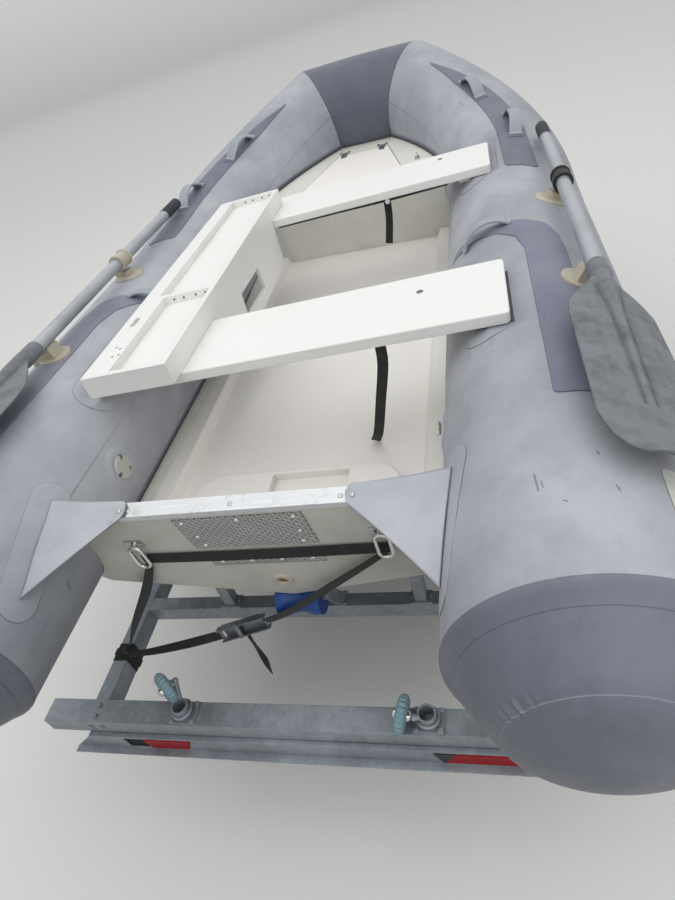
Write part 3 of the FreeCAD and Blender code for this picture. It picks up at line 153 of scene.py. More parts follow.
def collar_line(run):
    """Centre, tangent, outboard and up of the port tube, run metres from its stern seam.

    A straight run, an upward arc, and an arc that turns inboard in a tilted plane.
    """
    run = np.asarray(run, float)[..., None]
    along, out, up = np.eye(3)
    centre = np.array([STERN_X, TUBE_Y, 0.0]) + along * run
    a = (run - RUN_1) / RISE_R
    c2 = np.array([RISE_X, TUBE_Y, 0.0]) + RISE_R * (np.sin(a) * along + (1 - np.cos(a)) * up)
    t2 = np.cos(a) * along + np.sin(a) * up
    u2 = np.cos(a) * up - np.sin(a) * along
    b = np.clip(run - RUN_2, 0, RUN_3 - RUN_2) / BOW_R
    over = np.maximum(run - RUN_3, 0)
    t3 = TURN_ALONG * np.cos(b) + TURN_IN * np.sin(b)
    n3 = TURN_IN * np.cos(b) - TURN_ALONG * np.sin(b)
    turned = BOW_R * (np.sin(b) * TURN_ALONG + (1 - np.cos(b)) * TURN_IN)
    c3 = np.array([TURN_X, TUBE_Y, TURN_Z]) + turned + over * t3
    o3 = -math.cos(TILT) * n3 - math.sin(TILT) * TURN_AXIS
    u3 = math.sin(TILT) * n3 - math.cos(TILT) * TURN_AXIS
    rows = ((centre, c2, c3), (along, t2, t3), (out, out, o3), (up, u2, u3))
    return tuple(np.where(run <= RUN_1, p, np.where(run <= RUN_2, q, r)) for p, q, r in rows)


RUN_TABLE = np.linspace(0, RUN_3, 800)
X_TABLE = collar_line(RUN_TABLE)[0][:, 0]


def run_at(x):
    """Run along the tube where its centre line has drawing station x."""
    return np.interp(x, X_TABLE, RUN_TABLE)


def radial(run, theta):
    """Outward direction of the port tube's skin."""
    _, _, out, up = collar_line(run)
    t = np.radians(np.asarray(theta, float))[..., None]
    return up * np.sin(t) - out * np.cos(t)


def lumps(run, theta, side):
    """Slow lumps of the inflated fabric: a sum of six sine waves of the run and the angle."""
    rng = np.random.default_rng(4 + side)
    total = 0
    for _ in range(6):
        along, about = rng.uniform(1.5, 9.0), rng.integers(1, 5)
        total = total + np.sin(along * run + about * np.radians(theta) + rng.uniform(0, 6.3)) / along
    return LUMP_RISE * total


def seat_press(points, side):
    """How far each point drops where a seat board presses on the tube.

    The allowed height is 2 mm under the board's underside at that y; what stands above it
    drops by the excess inside the board's outline, fading out over 45 mm round it.
    """
    x, y, z = points[..., 0] - SHIFT[0], points[..., 1], points[..., 2] - SHIFT[2]
    excess = np.maximum(z - seat_under(y) + SEAT_SINK, 0)
    end = SEAT_PORT if side > 0 else SEAT_STBD
    inboard = 1 - smooth(end, end + SEAT_FADE, np.abs(y))
    near = [smooth(x0 - SEAT_FADE, x0, x) * (1 - smooth(x0 + SEAT_W, x0 + SEAT_W + SEAT_FADE, x))
            for x0 in SEAT_X]
    return excess * np.max(near, 0) * inboard


def seat_under(y):
    """Height of the seats' underside at y."""
    return SEAT_Z_PORT + (SEAT_PORT - y) * (SEAT_Z_STBD - SEAT_Z_PORT) / (SEAT_PORT + SEAT_STBD)


def skin(run, theta, height=0.0, side=1):
    """Point height above the fabric at a run and an angle, with its lumps and the seats' dents."""
    run, theta, height = np.broadcast_arrays(np.asarray(run, float), np.asarray(theta, float), height)
    lift = TUBE_R + height + lumps(run, theta, side)
    points = collar_line(run)[0] + radial(run, theta) * lift[..., None]
    points = points * np.array([1, side, 1]) + SHIFT
    points[..., 2] -= seat_press(points, side)
    return points


# Meshes


MERGE_DISTANCE, SHARP_ANGLE = 2e-6, math.radians(40)
SLOTS = {                 # each look's slot name, unless a piece names another; looked up, but no piece is given a slot
    "light": "fabric_light", "number": "fabric_light", "dark": "fabric_dark", "bow": "fabric_dark",
    "gasket": "fabric_dark", "patch": "patch_dark", "fore": "patch_dark", "gusset": "gusset_grey",
    "handle": "webbing_black", "webbing": "webbing_black", "beige": "plastic_beige", "valve": "plastic_beige",
    "stain": "plastic_beige", "black": "plastic_black", "board": "board_white", "plate": "plate_textured",
    "stainless": "stainless", "ratchet": "stainless", "zinc": "galvanised", "blade": "blade_grey",
    "tyre": "tyre", "roller": "roller_blue",
}
RIBBON_CORNERS = (        # shares of the width and the thickness
    (-0.5, -0.5), (-0.42, -0.62), (0.42, -0.62), (0.5, -0.5),
    (0.5, 0.5), (0.42, 0.62), (-0.42, 0.62), (-0.5, 0.5),
)
HEADS = {                 # columns, and rows of the profile as shares of the radius and the height
    "screw": (14, ((0.0, -0.4), (1.0, -0.4), (1.0, 0.0), (0.94, 0.45), (0.75, 0.85), (0.4, 1.0), (0.3, 0.98),
                   (0.26, 0.35), (0.0, 0.3))),
    "hex": (6, ((0.0, -0.4), (1.0, -0.4), (1.0, 0.0), (1.0, 0.85), (0.88, 1.0), (0.0, 1.0))),
}
FASTENERS = {             # head, radius, height, look
    "gusset_rivet": ("screw", 0.0055, 0.0030, "stainless"),
    "plate_screw": ("screw", 0.0062, 0.0032, "stainless"),
    "cap_screw": ("screw", 0.0052, 0.0022, "stainless"),
    "seat_screw": ("screw", 0.0085, 0.0018, "ratchet"),
    "tray_rim_screw": ("screw", 0.0034, 0.0012, "ratchet"),
    "tray_end_screw": ("screw", 0.0036, 0.0014, "ratchet"),
    "strap_buckle": ("hex", 0.0090, 0.0050, "stainless"),
    "wheel_nut": ("hex", 0.0095, 0.0140, "zinc"),
    "frame_bolt": ("hex", 0.0065, 0.0055, "zinc"),
}


def new_object(name, points, faces, material, body=ROOT, uv=None, grime=None, flat=False, slot=None,
               stands_for=()):
    """Closed mesh with merged poles and outward faces, riding on a CAD body."""
    slot = slot or SLOTS[material]
    mesh = bpy.data.meshes.new(name)
    mesh.from_pydata(np.asarray(points, float).reshape(-1, 3).tolist(), [], [list(f) for f in faces])
    if uv is not None:
        layer = mesh.uv_layers.new(name="UVMap")
        index = np.zeros(len(mesh.loops), np.int32)
        mesh.loops.foreach_get("vertex_index", index)
        layer.data.foreach_set("uv", np.asarray(uv, np.float32).reshape(-1, 2)[index].ravel())
    if grime is not None:
        mark = mesh.attributes.new("grime", "FLOAT", "POINT")
        mark.data.foreach_set("value", np.asarray(grime, np.float32).ravel())
    work = bmesh.new()
    work.from_mesh(mesh)
    bmesh.ops.remove_doubles(work, verts=work.verts, dist=MERGE_DISTANCE)
    bmesh.ops.recalc_face_normals(work, faces=work.faces)
    work.to_mesh(mesh)
    work.free()
    mesh.polygons.foreach_set("use_smooth", np.full(len(mesh.polygons), not flat))
    if not flat:
        mesh.set_sharp_from_angle(angle=SHARP_ANGLE)
    mesh.materials.append(MATERIALS[material])
    obj = bpy.data.objects.new(name, mesh)
    bpy.context.scene.collection.objects.link(obj)
    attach(obj, body)
    if stands_for:
        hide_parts(*stands_for)
    return obj


def grid_faces(rows, columns, wrap=False, first=0):
    """Quads of a grid of points, row after row; wrap joins the last column to the first."""
    last = columns if wrap else columns - 1
    i, j = np.meshgrid(np.arange(rows - 1), np.arange(last), indexing="ij")
    k = (j + 1) % columns
    quads = stack(i * columns + j, i * columns + k, (i + 1) * columns + k, (i + 1) * columns + j)
    return quads.reshape(-1, 4) + first


def shell(name, grid, material, **rest):
    """Closed surface of rings; a first and a last row at the ring's middle close its ends."""
    ends = [np.broadcast_to(grid[i].mean(0), grid[i].shape) for i in (0, -1)]
    grid = np.concatenate([ends[:1], grid, ends[1:]])
    for key in ("grime", "uv"):
        if rest.get(key) is not None:
            value = rest[key]
            rest[key] = np.concatenate([value[:1], value, value[-1:]])
    return new_object(name, grid, grid_faces(*grid.shape[:2], wrap=True), material, **rest)


def slab(name, top, bottom, material, wrap=False, **rest):
    """Closed sheet between two grids; with wrap, only the last row is a free edge."""
    rows, columns = top.shape[:2]
    size = rows * columns
    faces = [grid_faces(rows, columns, wrap), grid_faces(rows, columns, wrap, size)[:, ::-1]]
    index = np.arange(size).reshape(rows, columns)
    rims = [np.append(index[-1], index[-1, 0])] if wrap else [index[0], index[-1], index[:, 0], index[:, -1]]
    for rim in rims:
        faces.append(stack(rim[:-1], rim[1:], rim[1:] + size, rim[:-1] + size))
    if rest.get("grime") is not None:
        rest["grime"] = np.concatenate([rest["grime"]] * 2)
    return new_object(name, np.concatenate([top, bottom]), np.concatenate(faces), material, **rest)


def lathe(centre, axis, profile, columns, wave=None):
    """Grid of a profile of (along the axis, radius) turned about an axis; wave adds to the radius."""
    axis = unit(axis)
    side = unit(np.cross(axis, (0, 0, 1) if abs(axis[2]) < 0.9 else (0, 1, 0)))
    phi = np.arange(columns) * 2 * np.pi / columns
    a, r = np.asarray(profile, float).T[..., None]
    r = r + (wave(a, r, phi) if wave else 0 * phi)
    ring = around(phi, side, np.cross(axis, side))
    return np.asarray(centre, float) + a[..., None] * axis + r[..., None] * ring + SHIFT


def rounded(knots, steps=6):
    """A profile's knots joined by a curve through them all (Catmull-Rom)."""
    knots = np.asarray(knots, float)
    padded = np.concatenate([2 * knots[:1] - knots[1:2], knots, 2 * knots[-1:] - knots[-2:-1]])
    t = np.linspace(0, 1, steps, endpoint=False)[:, None]
    curves = []
    for a, b, c, d in zip(padded, padded[1:], padded[2:], padded[3:]):
        curves.append(0.5 * (2 * b + (c - a) * t + (2 * a - 5 * b + 4 * c - d) * t ** 2
                             + (3 * b - a - 3 * c + d) * t ** 3))
    return np.concatenate(curves + [knots[-1:]])


def ribbon(name, line, across, width, thick, material, **rest):
    """Flat strip: a rectangle carried along a line; across gives its width's direction at each point."""
    line = np.asarray(line, float)
    along = unit(np.gradient(line, axis=0))
    across = np.broadcast_to(np.asarray(across, float), line.shape)
    across = unit(across - along * np.sum(across * along, 1)[:, None])
    normal = np.cross(along, across)
    width = np.broadcast_to(width, len(line))[:, None]
    grid = np.stack([line + across * (a * width) + normal * (b * thick) for a, b in RIBBON_CORNERS], 1)
    length = np.concatenate([[0], np.cumsum(np.linalg.norm(np.diff(line, axis=0), axis=1))])
    uv = stack(length[:, None], np.array([a for a, _ in RIBBON_CORNERS])[None, :] * width)
    return shell(name, grid, material, uv=uv, **rest)


def heads(name, sort, places, normals, **rest):
    """Fastener heads in one mesh: a small profile turned about each place's normal."""
    kind, radius, height, material = FASTENERS[sort]
    places = np.asarray(places, float).reshape(-1, 3)
    normals = np.broadcast_to(np.asarray(normals, float), places.shape)
    columns, rows = HEADS[kind]
    profile = [(h * height, r * radius) for r, h in rows]
    grids = np.stack([lathe(p, n, profile, columns) for p, n in zip(places, normals)])
    faces = [grid_faces(len(profile), columns, True, k * len(profile) * columns) for k in range(len(places))]
    return new_object(name, grids, np.concatenate(faces), material, flat=kind == "hex", **rest)


# Materials


BLACK, WHITE = "#000000", "#FFFFFF"
LENS_BACK = -0.1719       # drawing x where a lamp's lens meets its housing
GRIP_X = 1.370            # drawing x where an oar's foam sleeve begins
MATERIALS = {}


def add(tree, kind, given=None, out=None, stops=None, **settings):
    """Add a shader node with its settings and its links, and return its output.

    given holds sockets to link, or hex colours and numbers, by input name or number;
    stops are a colour ramp's places and colours.
    """
    node = tree.nodes.new("ShaderNode" + kind)
    for key, value in settings.items():
        if hasattr(node, key):
            setattr(node, key, value)
        else:
            node.inputs[key.replace("_", " ")].default_value = value
    for key, value in (given or {}).items():
        if isinstance(value, bpy.types.NodeSocket):
            tree.links.new(value, node.inputs[key])
        else:
            node.inputs[key].default_value = linear(value) if isinstance(value, str) else value
    if stops:
        ramp = node.color_ramp
        while len(ramp.elements) < len(stops):
            ramp.elements.new(0.5)
        for element, (place, colour) in zip(ramp.elements, stops):
            element.position = place
            element.color = linear(colour)
    return node.outputs[out] if out else next(s for s in node.outputs if s.enabled)


def begin(name, colour, roughness, **sockets):
    """Material with a Principled shader whose plain sockets are set here."""
    material = bpy.data.materials.new(name)
    material.use_nodes = True
    tree = material.node_tree
    shader = tree.nodes["Principled BSDF"]
    sockets.update(Base_Color=linear(colour), Roughness=roughness)
    for key, value in sockets.items():
        shader.inputs[key.replace("_", " ")].default_value = value
    return material, tree, shader, add(tree, "TexCoord", out="Object")


def finish(tree, shader, **links):
    """Link worked-out sockets to the shader's own."""
    for key, socket in links.items():
        tree.links.new(socket, shader.inputs[key.replace("_", " ")])


def stained(tree, colour, pattern, stops, dirt):
    """Mix dirt into a colour by a pattern, which stops turn into a grey from none to all."""
    amount = add(tree, "ValToRGB", {0: pattern}, stops=stops)
    return add(tree, "Mix", {0: amount, 6: colour, 7: dirt}, data_type="RGBA")


def marked(tree, colour, share, dirt):
    """Mix a dark colour into a colour by share times the mesh's own attribute: dirt along seams and edges, and
    painted shade in the valve notches and beside the blade spines.
    """
    grime = add(tree, "Attribute", out="Fac", attribute_name="grime")
    line = add(tree, "Math", {0: grime, 1: share}, operation="MULTIPLY")
    return add(tree, "Mix", {0: line, 6: colour, 7: dirt}, data_type="RGBA")


def relief(tree, height, edge, strength, distance):
    """Normal of a surface whose edges are softened to a radius and whose face rises with a height."""
    bevel = add(tree, "Bevel", samples=4, Radius=edge)
    return add(tree, "Bump", {"Height": height, "Normal": bevel}, Strength=strength, Distance=distance)


def coated_fabric(name, base, worn, stain):
    """PVC-coated polyester: a calendered film with a dull sheen over its weave.

    Weather leaves chalky clouds 0.4 m across, handling leaves blotches and dark scuffs along
    the boat. Grime settles in a line 1 to 3 mm wide at each glued edge, and where the
    attribute is negative the line is paler instead.
    """
    m, t, shader, place = begin(name, base, 0.5, Sheen_Weight=0.06, Sheen_Roughness=0.5,
                                Specular_IOR_Level=0.38)
    chalk = add(t, "TexNoise", {"Vector": place}, Scale=2.6, Detail=5.0, Roughness=0.6)
    blotch = add(t, "TexNoise", {"Vector": place}, Scale=13.0, Detail=8.0, Roughness=0.7)
    stretched = add(t, "Mapping", {"Vector": place}, Scale=(0.25, 1.0, 1.0))
    scuff = add(t, "TexNoise", {"Vector": stretched}, Scale=34.0, Detail=4.0, Roughness=0.75)
    rub = add(t, "TexNoise", {"Vector": place}, Scale=5.5, Detail=2.0)
    colour = stained(t, base, chalk, ((0.38, BLACK), (0.62, WHITE)), worn)
    colour = stained(t, colour, blotch, ((0.50, BLACK), (0.74, "#909090")), stain)
    marks = add(t, "Math", {0: add(t, "ValToRGB", {0: scuff}, stops=((0.58, BLACK), (0.70, "#B4B4B4"))),
                            1: add(t, "ValToRGB", {0: rub}, stops=((0.46, BLACK), (0.62, WHITE)))},
                operation="MULTIPLY")
    colour = add(t, "Mix", {0: marks, 6: colour, 7: stain}, data_type="RGBA")
    colour = marked(t, colour, 0.8, "#3E4046")
    colour = marked(t, colour, -0.8, "#B6B9C0")
    rough = add(t, "MapRange", {"Value": blotch}, From_Min=0.3, From_Max=0.75, To_Min=0.42, To_Max=0.62)
    grain = add(t, "TexNoise", {"Vector": place}, Scale=420.0, Detail=2.0)     # 2.4 mm, the weave drawn coarse
    fine = add(t, "Bump", {"Height": grain}, Strength=0.12, Distance=0.0008)
    soft = add(t, "Bump", {"Height": blotch, "Normal": fine}, Strength=0.25, Distance=0.003)
    finish(t, shader, Base_Color=colour, Roughness=rough, Normal=soft)
    return m


def gelcoat(name, base, grime, gloss, clouds, pits):
    """Gelcoat on glassfibre: a hard glossy skin, dulled by use.

    Grime gathers as soft clouds, with pits and specks 3 to 6 mm across, and the corners are
    darkened by grime and painted shade; the glass strands print through as a faint unevenness.
    """
    m, t, shader, place = begin(name, base, gloss, Coat_Weight=0.12, Coat_Roughness=0.2)
    cloud = add(t, "TexNoise", {"Vector": place}, Scale=4.0, Detail=7.0, Roughness=0.62)
    speck = add(t, "TexNoise", {"Vector": place}, Scale=90.0, Detail=3.0, Roughness=0.6)
    corner = add(t, "AmbientOcclusion", out="AO", samples=6, Distance=0.05)
    strand = add(t, "TexNoise", {"Vector": place}, Scale=22.0, Detail=3.0)
    colour = stained(t, base, cloud, ((0.46, BLACK), (0.78, clouds)), grime)
    colour = stained(t, colour, speck, ((0.66, BLACK), (0.76, pits)), grime)
    # Darker in the corners that ambient occlusion finds, in patches: grime and painted shade.
    corner_grime_and_shade = add(t, "ValToRGB", {0: corner}, stops=((0.35, "#969696"), (0.85, BLACK)))
    patchy = add(t, "Math", {0: corner_grime_and_shade, 1: add(t, "MapRange", {"Value": cloud}, From_Min=0.3, From_Max=0.6)},
                 operation="MULTIPLY")
    colour = add(t, "Mix", {0: patchy, 6: colour, 7: grime}, data_type="RGBA")
    rough = add(t, "MapRange", {"Value": cloud}, From_Min=0.3, From_Max=0.8, To_Min=gloss, To_Max=gloss + 0.28)
    finish(t, shader, Base_Color=colour, Roughness=rough, Normal=relief(t, strand, 0.003, 0.2, 0.0015))
    return m


def galvanised():
    """Hot-dip galvanised steel: a matt grey zinc skin.

    Its spangle is 10 to 15 mm across and faint, white bloom and grey runs cloud it, and its
    corners are darkened by dirt and painted shade.
    """
    m, t, shader, place = begin("hot_dip_galvanised_steel", "#9CA1A4", 0.5, Metallic=0.55)
    upright = add(t, "Mapping", {"Vector": place}, Scale=(1.0, 1.0, 0.2))
    spangle = add(t, "TexVoronoi", {"Vector": place}, out="Color", Scale=75.0)
    cloud = add(t, "TexNoise", {"Vector": place}, Scale=7.0, Detail=7.0, Roughness=0.66)
    run = add(t, "TexNoise", {"Vector": upright}, Scale=40.0, Detail=4.0)
    corner = add(t, "AmbientOcclusion", out="AO", samples=4, Distance=0.03)
    colour = add(t, "ValToRGB", {0: cloud}, stops=((0.3, "#939AA0"), (0.52, "#A6ADB4"), (0.75, "#BEC5CB")))
    crystal = add(t, "ValToRGB", {0: spangle}, stops=((0.2, "#646464"), (0.8, "#9A9A9A")))
    colour = add(t, "Mix", {0: 0.5, 6: colour, 7: crystal}, data_type="RGBA", blend_type="SOFT_LIGHT")
    colour = stained(t, colour, run, ((0.55, BLACK), (0.8, "#484848")), "#6F7375")
    # Darker in the corners that ambient occlusion finds: dirt and painted shade.
    colour = stained(t, colour, corner, ((0.3, "#A0A0A0"), (0.8, BLACK)), "#5A5850")
    rough = add(t, "MapRange", {"Value": cloud}, From_Min=0.3, From_Max=0.7, To_Min=0.42, To_Max=0.62)
    finish(t, shader, Base_Color=colour, Roughness=rough, Normal=relief(t, run, 0.0025, 0.25, 0.001))
    return m


def bare_metal(name, base, roughness, grain, dirt, amount):
    """Uncoated metal: long rolling or polishing streaks, with dirt in its corners.

    The grain is given as streaks per metre along X, Y and Z.
    """
    m, t, shader, place = begin(name, base, roughness, Metallic=1.0)
    drawn = add(t, "Mapping", {"Vector": place}, Scale=grain)
    streak = add(t, "TexNoise", {"Vector": drawn}, Scale=1.0, Detail=4.0)
    smear = add(t, "TexNoise", {"Vector": place}, Scale=30.0, Detail=6.0, Roughness=0.7)
    colour = stained(t, base, smear, ((0.55, BLACK), (0.75, amount)), dirt)
    colour = marked(t, colour, 0.85, dirt)
    rough = add(t, "MapRange", {"Value": streak}, From_Min=0.25, From_Max=0.75, To_Min=roughness * 0.7,
                To_Max=roughness * 1.5)
    finish(t, shader, Base_Color=colour, Roughness=rough, Normal=relief(t, streak, 0.001, 0.15, 0.0004))
    return m


def moulded(name, base, roughness, grime, amount, grain, edge=0.0015):
    """Moulded plastic or rubber: a fine moulded grain, a softened edge, dull dirt in patches, and corners
    darkened by dirt and painted shade.

    The grain is given in cells per metre.
    """
    m, t, shader, place = begin(name, base, roughness)
    cloud = add(t, "TexNoise", {"Vector": place}, Scale=22.0, Detail=7.0, Roughness=0.68)
    corner = add(t, "AmbientOcclusion", out="AO", samples=4, Distance=0.015)
    skin_grain = add(t, "TexNoise", {"Vector": place}, Scale=grain, Detail=2.0)
    colour = stained(t, base, cloud, ((0.45, BLACK), (0.75, amount)), grime)
    # Darker in the corners that ambient occlusion finds: dirt and painted shade.
    colour = stained(t, colour, corner, ((0.3, amount), (0.8, BLACK)), grime)
    colour = marked(t, colour, 0.9, "#2C2D2E")
    rough = add(t, "MapRange", {"Value": cloud}, From_Min=0.3, From_Max=0.8, To_Min=roughness * 0.85,
                To_Max=min(1.0, roughness * 1.3))
    finish(t, shader, Base_Color=colour, Roughness=rough, Normal=relief(t, skin_grain, edge, 0.3, 0.0004))
    return m


def webbing(name, base, dust):
    """Woven polyester webbing: dull, with a rib across every 1.5 mm, drawn at 3 mm so that it shows.

    Dust lies on the ribs in soft clouds.
    """
    m, t, shader, place = begin(name, base, 0.85, Sheen_Weight=0.15)
    rib = add(t, "TexWave", {"Vector": add(t, "UVMap")}, wave_type="BANDS", bands_direction="X", Scale=52.0)
    cloud = add(t, "TexNoise", {"Vector": place}, Scale=35.0, Detail=5.0)
    colour = stained(t, base, cloud, ((0.48, BLACK), (0.8, "#808080")), dust)
    # Each band between the ribs is darkened by up to 14 percent: painted shade.
    shade = add(t, "MapRange", {"Value": rib}, To_Min=0.86, To_Max=1.0)
    colour = add(t, "Mix", {0: 1.0, 6: colour, 7: shade}, data_type="RGBA", blend_type="MULTIPLY")
    finish(t, shader, Base_Color=colour, Normal=add(t, "Bump", {"Height": rib}, Strength=0.2, Distance=0.0006))
    return m


def split_finish(name, axis, place_of_split, low, high):
    """One node in two finishes, below and above a place on an axis.

    Each finish is a colour, a roughness, a metallic share and a worn colour.
    """
    m, t, shader, place = begin(name, low[0], low[1])
    part = add(t, "SeparateXYZ", {0: place}, out=axis)
    side = add(t, "Math", {0: part, 1: place_of_split}, operation="GREATER_THAN")
    smear = add(t, "TexNoise", {"Vector": place}, Scale=9.0, Detail=6.0, Roughness=0.6)
    worn = [add(t, "ValToRGB", {0: smear}, stops=((0.45, c), (0.8, dirty))) for c, _, _, dirty in (low, high)]
    colour = add(t, "Mix", {0: side, 6: worn[0], 7: worn[1]}, data_type="RGBA")
    rough = add(t, "MapRange", {"Value": side}, To_Min=low[1], To_Max=high[1])
    metallic = add(t, "MapRange", {"Value": side}, To_Min=low[2], To_Max=high[2])
    finish(t, shader, Base_Color=colour, Roughness=rough, Metallic=metallic,
           Normal=relief(t, smear, 0.001, 0.05, 0.0006))
    return m


def lens_plastic(name):
    """Moulded red acrylic in front of a black housing: prisms 4 mm apart behind a glossy face."""
    m, t, shader, place = begin(name, "#A00008", 0.22, Specular_IOR_Level=0.12)
    part = add(t, "SeparateXYZ", {0: place}, out="X")
    behind = add(t, "Math", {0: part, 1: LENS_BACK + float(SHIFT[0])}, operation="GREATER_THAN")
    cells = add(t, "TexVoronoi", {"Vector": place}, Scale=250.0, distance="CHEBYCHEV", Randomness=0.0)
    # The prism cells alternate lighter and darker reds: painted highlight and shade.
    shade = add(t, "ValToRGB", {0: cells}, stops=((0.2, "#B80009"), (0.6, "#860206")))
    dust = add(t, "TexNoise", {"Vector": place}, Scale=30.0, Detail=5.0)
    colour = stained(t, shade, dust, ((0.5, BLACK), (0.8, "#303030")), "#5A2A24")
    colour = add(t, "Mix", {0: behind, 6: colour, 7: "#17181A"}, data_type="RGBA")
    finish(t, shader, Base_Color=colour, Normal=add(t, "Bump", {"Height": cells}, Strength=0.4, Distance=0.001))
    return m


# Each row's key is the look's short name. The comment says what the finish gives the eye.
FABRICS = {               # name, colour, chalky colour, stain
    "light": ("coated_fabric_light_grey", "#999DA6", "#B2B5BC", "#7B7F88"),  # sun-bleached blue-grey
    "dark": ("coated_fabric_dark_grey", "#6C707C", "#7A7E8A", "#4E525B"),  # slate caps
    "bow": ("coated_fabric_bow_grey", "#5E626F", "#6A6E7B", "#474A56"),  # the darkest panel
    "patch": ("coated_fabric_doubling_grey", "#777A8C", "#868998", "#5E6175"),  # mauve-grey doublings
    "fore": ("coated_fabric_fore_doubling_grey", "#6A6D7D", "#787B89", "#525565"),  # the same fabric drawn darker: painted shade towards the bow
    "gusset": ("coated_fabric_gusset_grey", "#A4A8B1", "#B5B8BF", "#898D96"),  # the palest, cleanest
    "number": ("coated_fabric_white", "#C9CBC4", "#D6D8D0", "#9A9A90"),  # yellowed white
}
GELCOATS = {              # name, colour, grime (also the painted shade in corners), roughness, strength of the clouds, strength of the specks
    "hull": ("gelcoat_white_hull", "#E4E3DC", "#A29E8E", 0.3, "#9A9A9A", "#606060"),  # road film
    "deck": ("gelcoat_white_deck", "#F3F0EB", "#B9AB97", 0.42, "#505050", "#808080"),  # pinkish, specked
    "transom": ("gelcoat_white_transom", "#E6E5DC", "#8C887A", 0.36, "#A0A0A0", "#707070"),  # the grimiest
    "board": ("polished_gelcoat_seat_board", "#F0F0EE", "#BDB9A6", 0.28, "#4A4A4A", "#383838"),  # bright, clean
}
METALS = {                # name, colour, roughness, grain, dirt, strength of the smears
    # Bright and streaked along its length, with grey smears
    "cap": ("mill_finish_aluminium_channel", "#D0D2D4", 0.36, (300.0, 8.0, 300.0), "#5E5A56", "#B0B0B0"),
    # Satin, dark with dirt round the bars of its pattern
    "plate": ("pressed_aluminium_tread_plate", "#D2D3D2", 0.40, (60.0, 12.0, 60.0), "#3A3834", "#909090"),
    # Mirror bright, with brown tea stains
    "stainless": ("polished_stainless_steel", "#CBCBC8", 0.18, (80.0, 80.0, 80.0), "#6B5234", "#707070"),
    # Dull grey plating, with near-black smears
    "ratchet": ("zinc_plated_ratchet_steel", "#83868A", 0.42, (80.0, 80.0, 80.0), "#2E2C2A", "#B0B0B0"),
}
MOULDINGS = {             # name, colour, roughness, grime (also the painted shade in corners), its strength, grain, and an edge of another radius
    "beige": ("aged_beige_pvc", "#C0BAA8", 0.5, "#75694C", "#808080", 240.0),  # yellowed, brown in corners with dirt and painted shade
    "cream": ("cream_pvc_socket", "#DDD6C8", 0.45, "#8A7450", "#606060", 240.0),  # pale, with brown stains
    "valve": ("moulded_valve_plastic", "#B9BAB4", 0.5, "#5A5852", "#505050", 240.0),  # pale grey, nearly clean
    "black": ("black_nylon", "#1E1F21", 0.5, "#55524C", "#404040", 240.0),  # satin black under a grey bloom
    "blade": ("grey_polypropylene_blade", "#787C81", 0.52, "#33363A", "#D0D0D0", 160.0),  # scuffed and blotched
    "roller": ("faded_blue_polyvinyl_roller", "#84A3AE", 0.55, "#5C6C70", "#909090", 200.0),  # sun-bleached
    "keel": ("blue_polyvinyl_roller", "#1D4A98", 0.45, "#38445A", "#808080", 200.0),  # shaded, still bright
    "tyre": ("tyre_rubber", "#1F1F20", 0.82, "#57524A", "#808080", 150.0),  # dusty black
    "rim": ("silver_enamelled_steel", "#B6B9BC", 0.32, "#5E584E", "#606060", 300.0),  # silver paint, dusty
    "guard": ("black_polyethylene_guard", "#222324", 0.6, "#5E5A50", "#606060", 160.0),  # soft black, greyed
    "bunk": ("needled_bunk_carpet", "#4E5052", 0.95, "#7C7668", "#909090", 500.0, 0.004),  # dull and fuzzy
    "gasket": ("grey_rubber_gasket", "#4B4E50", 0.7, "#2E2F2E", "#909090", 300.0),  # dark grey, dull
    "stain": ("drain_hollow_stain", "#8A7040", 0.6, "#4A3A22", "#A0A0A0", 200.0),  # rust-brown water mark
}
WEBBINGS = {              # name, colour, dust
    "webbing": ("black_polyester_webbing", "#1B1C1E", "#4C4A44"),  # dull black, dusty
    "handle": ("light_grey_handle_webbing", "#A6ACB5", "#7F858E"),  # pale blue-grey
}
MAKERS = ((coated_fabric, FABRICS), (gelcoat, GELCOATS), (bare_metal, METALS), (moulded, MOULDINGS),
          (webbing, WEBBINGS))
TUBE_FINISH = ("#B8BDC4", 0.36, 0.5, "#A0A4AA")       # anodised: pale and satin
SLEEVE_FINISH = ("#33363C", 0.8, 0.0, "#4A4C50")      # foam: dull and blue-black


def make_materials():
    """Make every look by its short name."""
    for maker, rows in MAKERS:
        for key, row in rows.items():
            MATERIALS[key] = maker(*row)
    MATERIALS["zinc"] = galvanised()
    MATERIALS["lens"] = lens_plastic("red_acrylic_lens")
    MATERIALS["shaft"] = split_finish("sleeved_anodised_tube", "X", GRIP_X + float(SHIFT[0]), TUBE_FINISH,
                                      SLEEVE_FINISH)


LOOK_NODES = {            # the CAD nodes that show their own solids, by look
    "hull": "hull", "deck": "deck_liner locker_lid", "transom": "transom_board", "cap": "transom_cap",
    "cream": "drain_socket", "stainless": "u_bolts hinge_plates deck_fittings",
    "ratchet": "lid_hinges strap_ratchet", "board": "seat_aft seat_forward side_tray",
    "beige": "rowlock_bases oar_holders", "shaft": "oar_port oar_starboard",
    "zinc": "rear_beam frame_rails drawbar cross_members axle wheel_arms keel_roller_brackets bunk_brackets "
            "side_roller_posts lamp_board coupling winch_post winch jockey_leg jockey_clamp jockey_fork",
    "rim": "rim_port rim_starboard", "guard": "mudguards", "keel": "keel_rollers", "bunk": "bunks",
    "lens": "lamps", "black": "bow_stop jockey_wheel",
}


# Air tubes


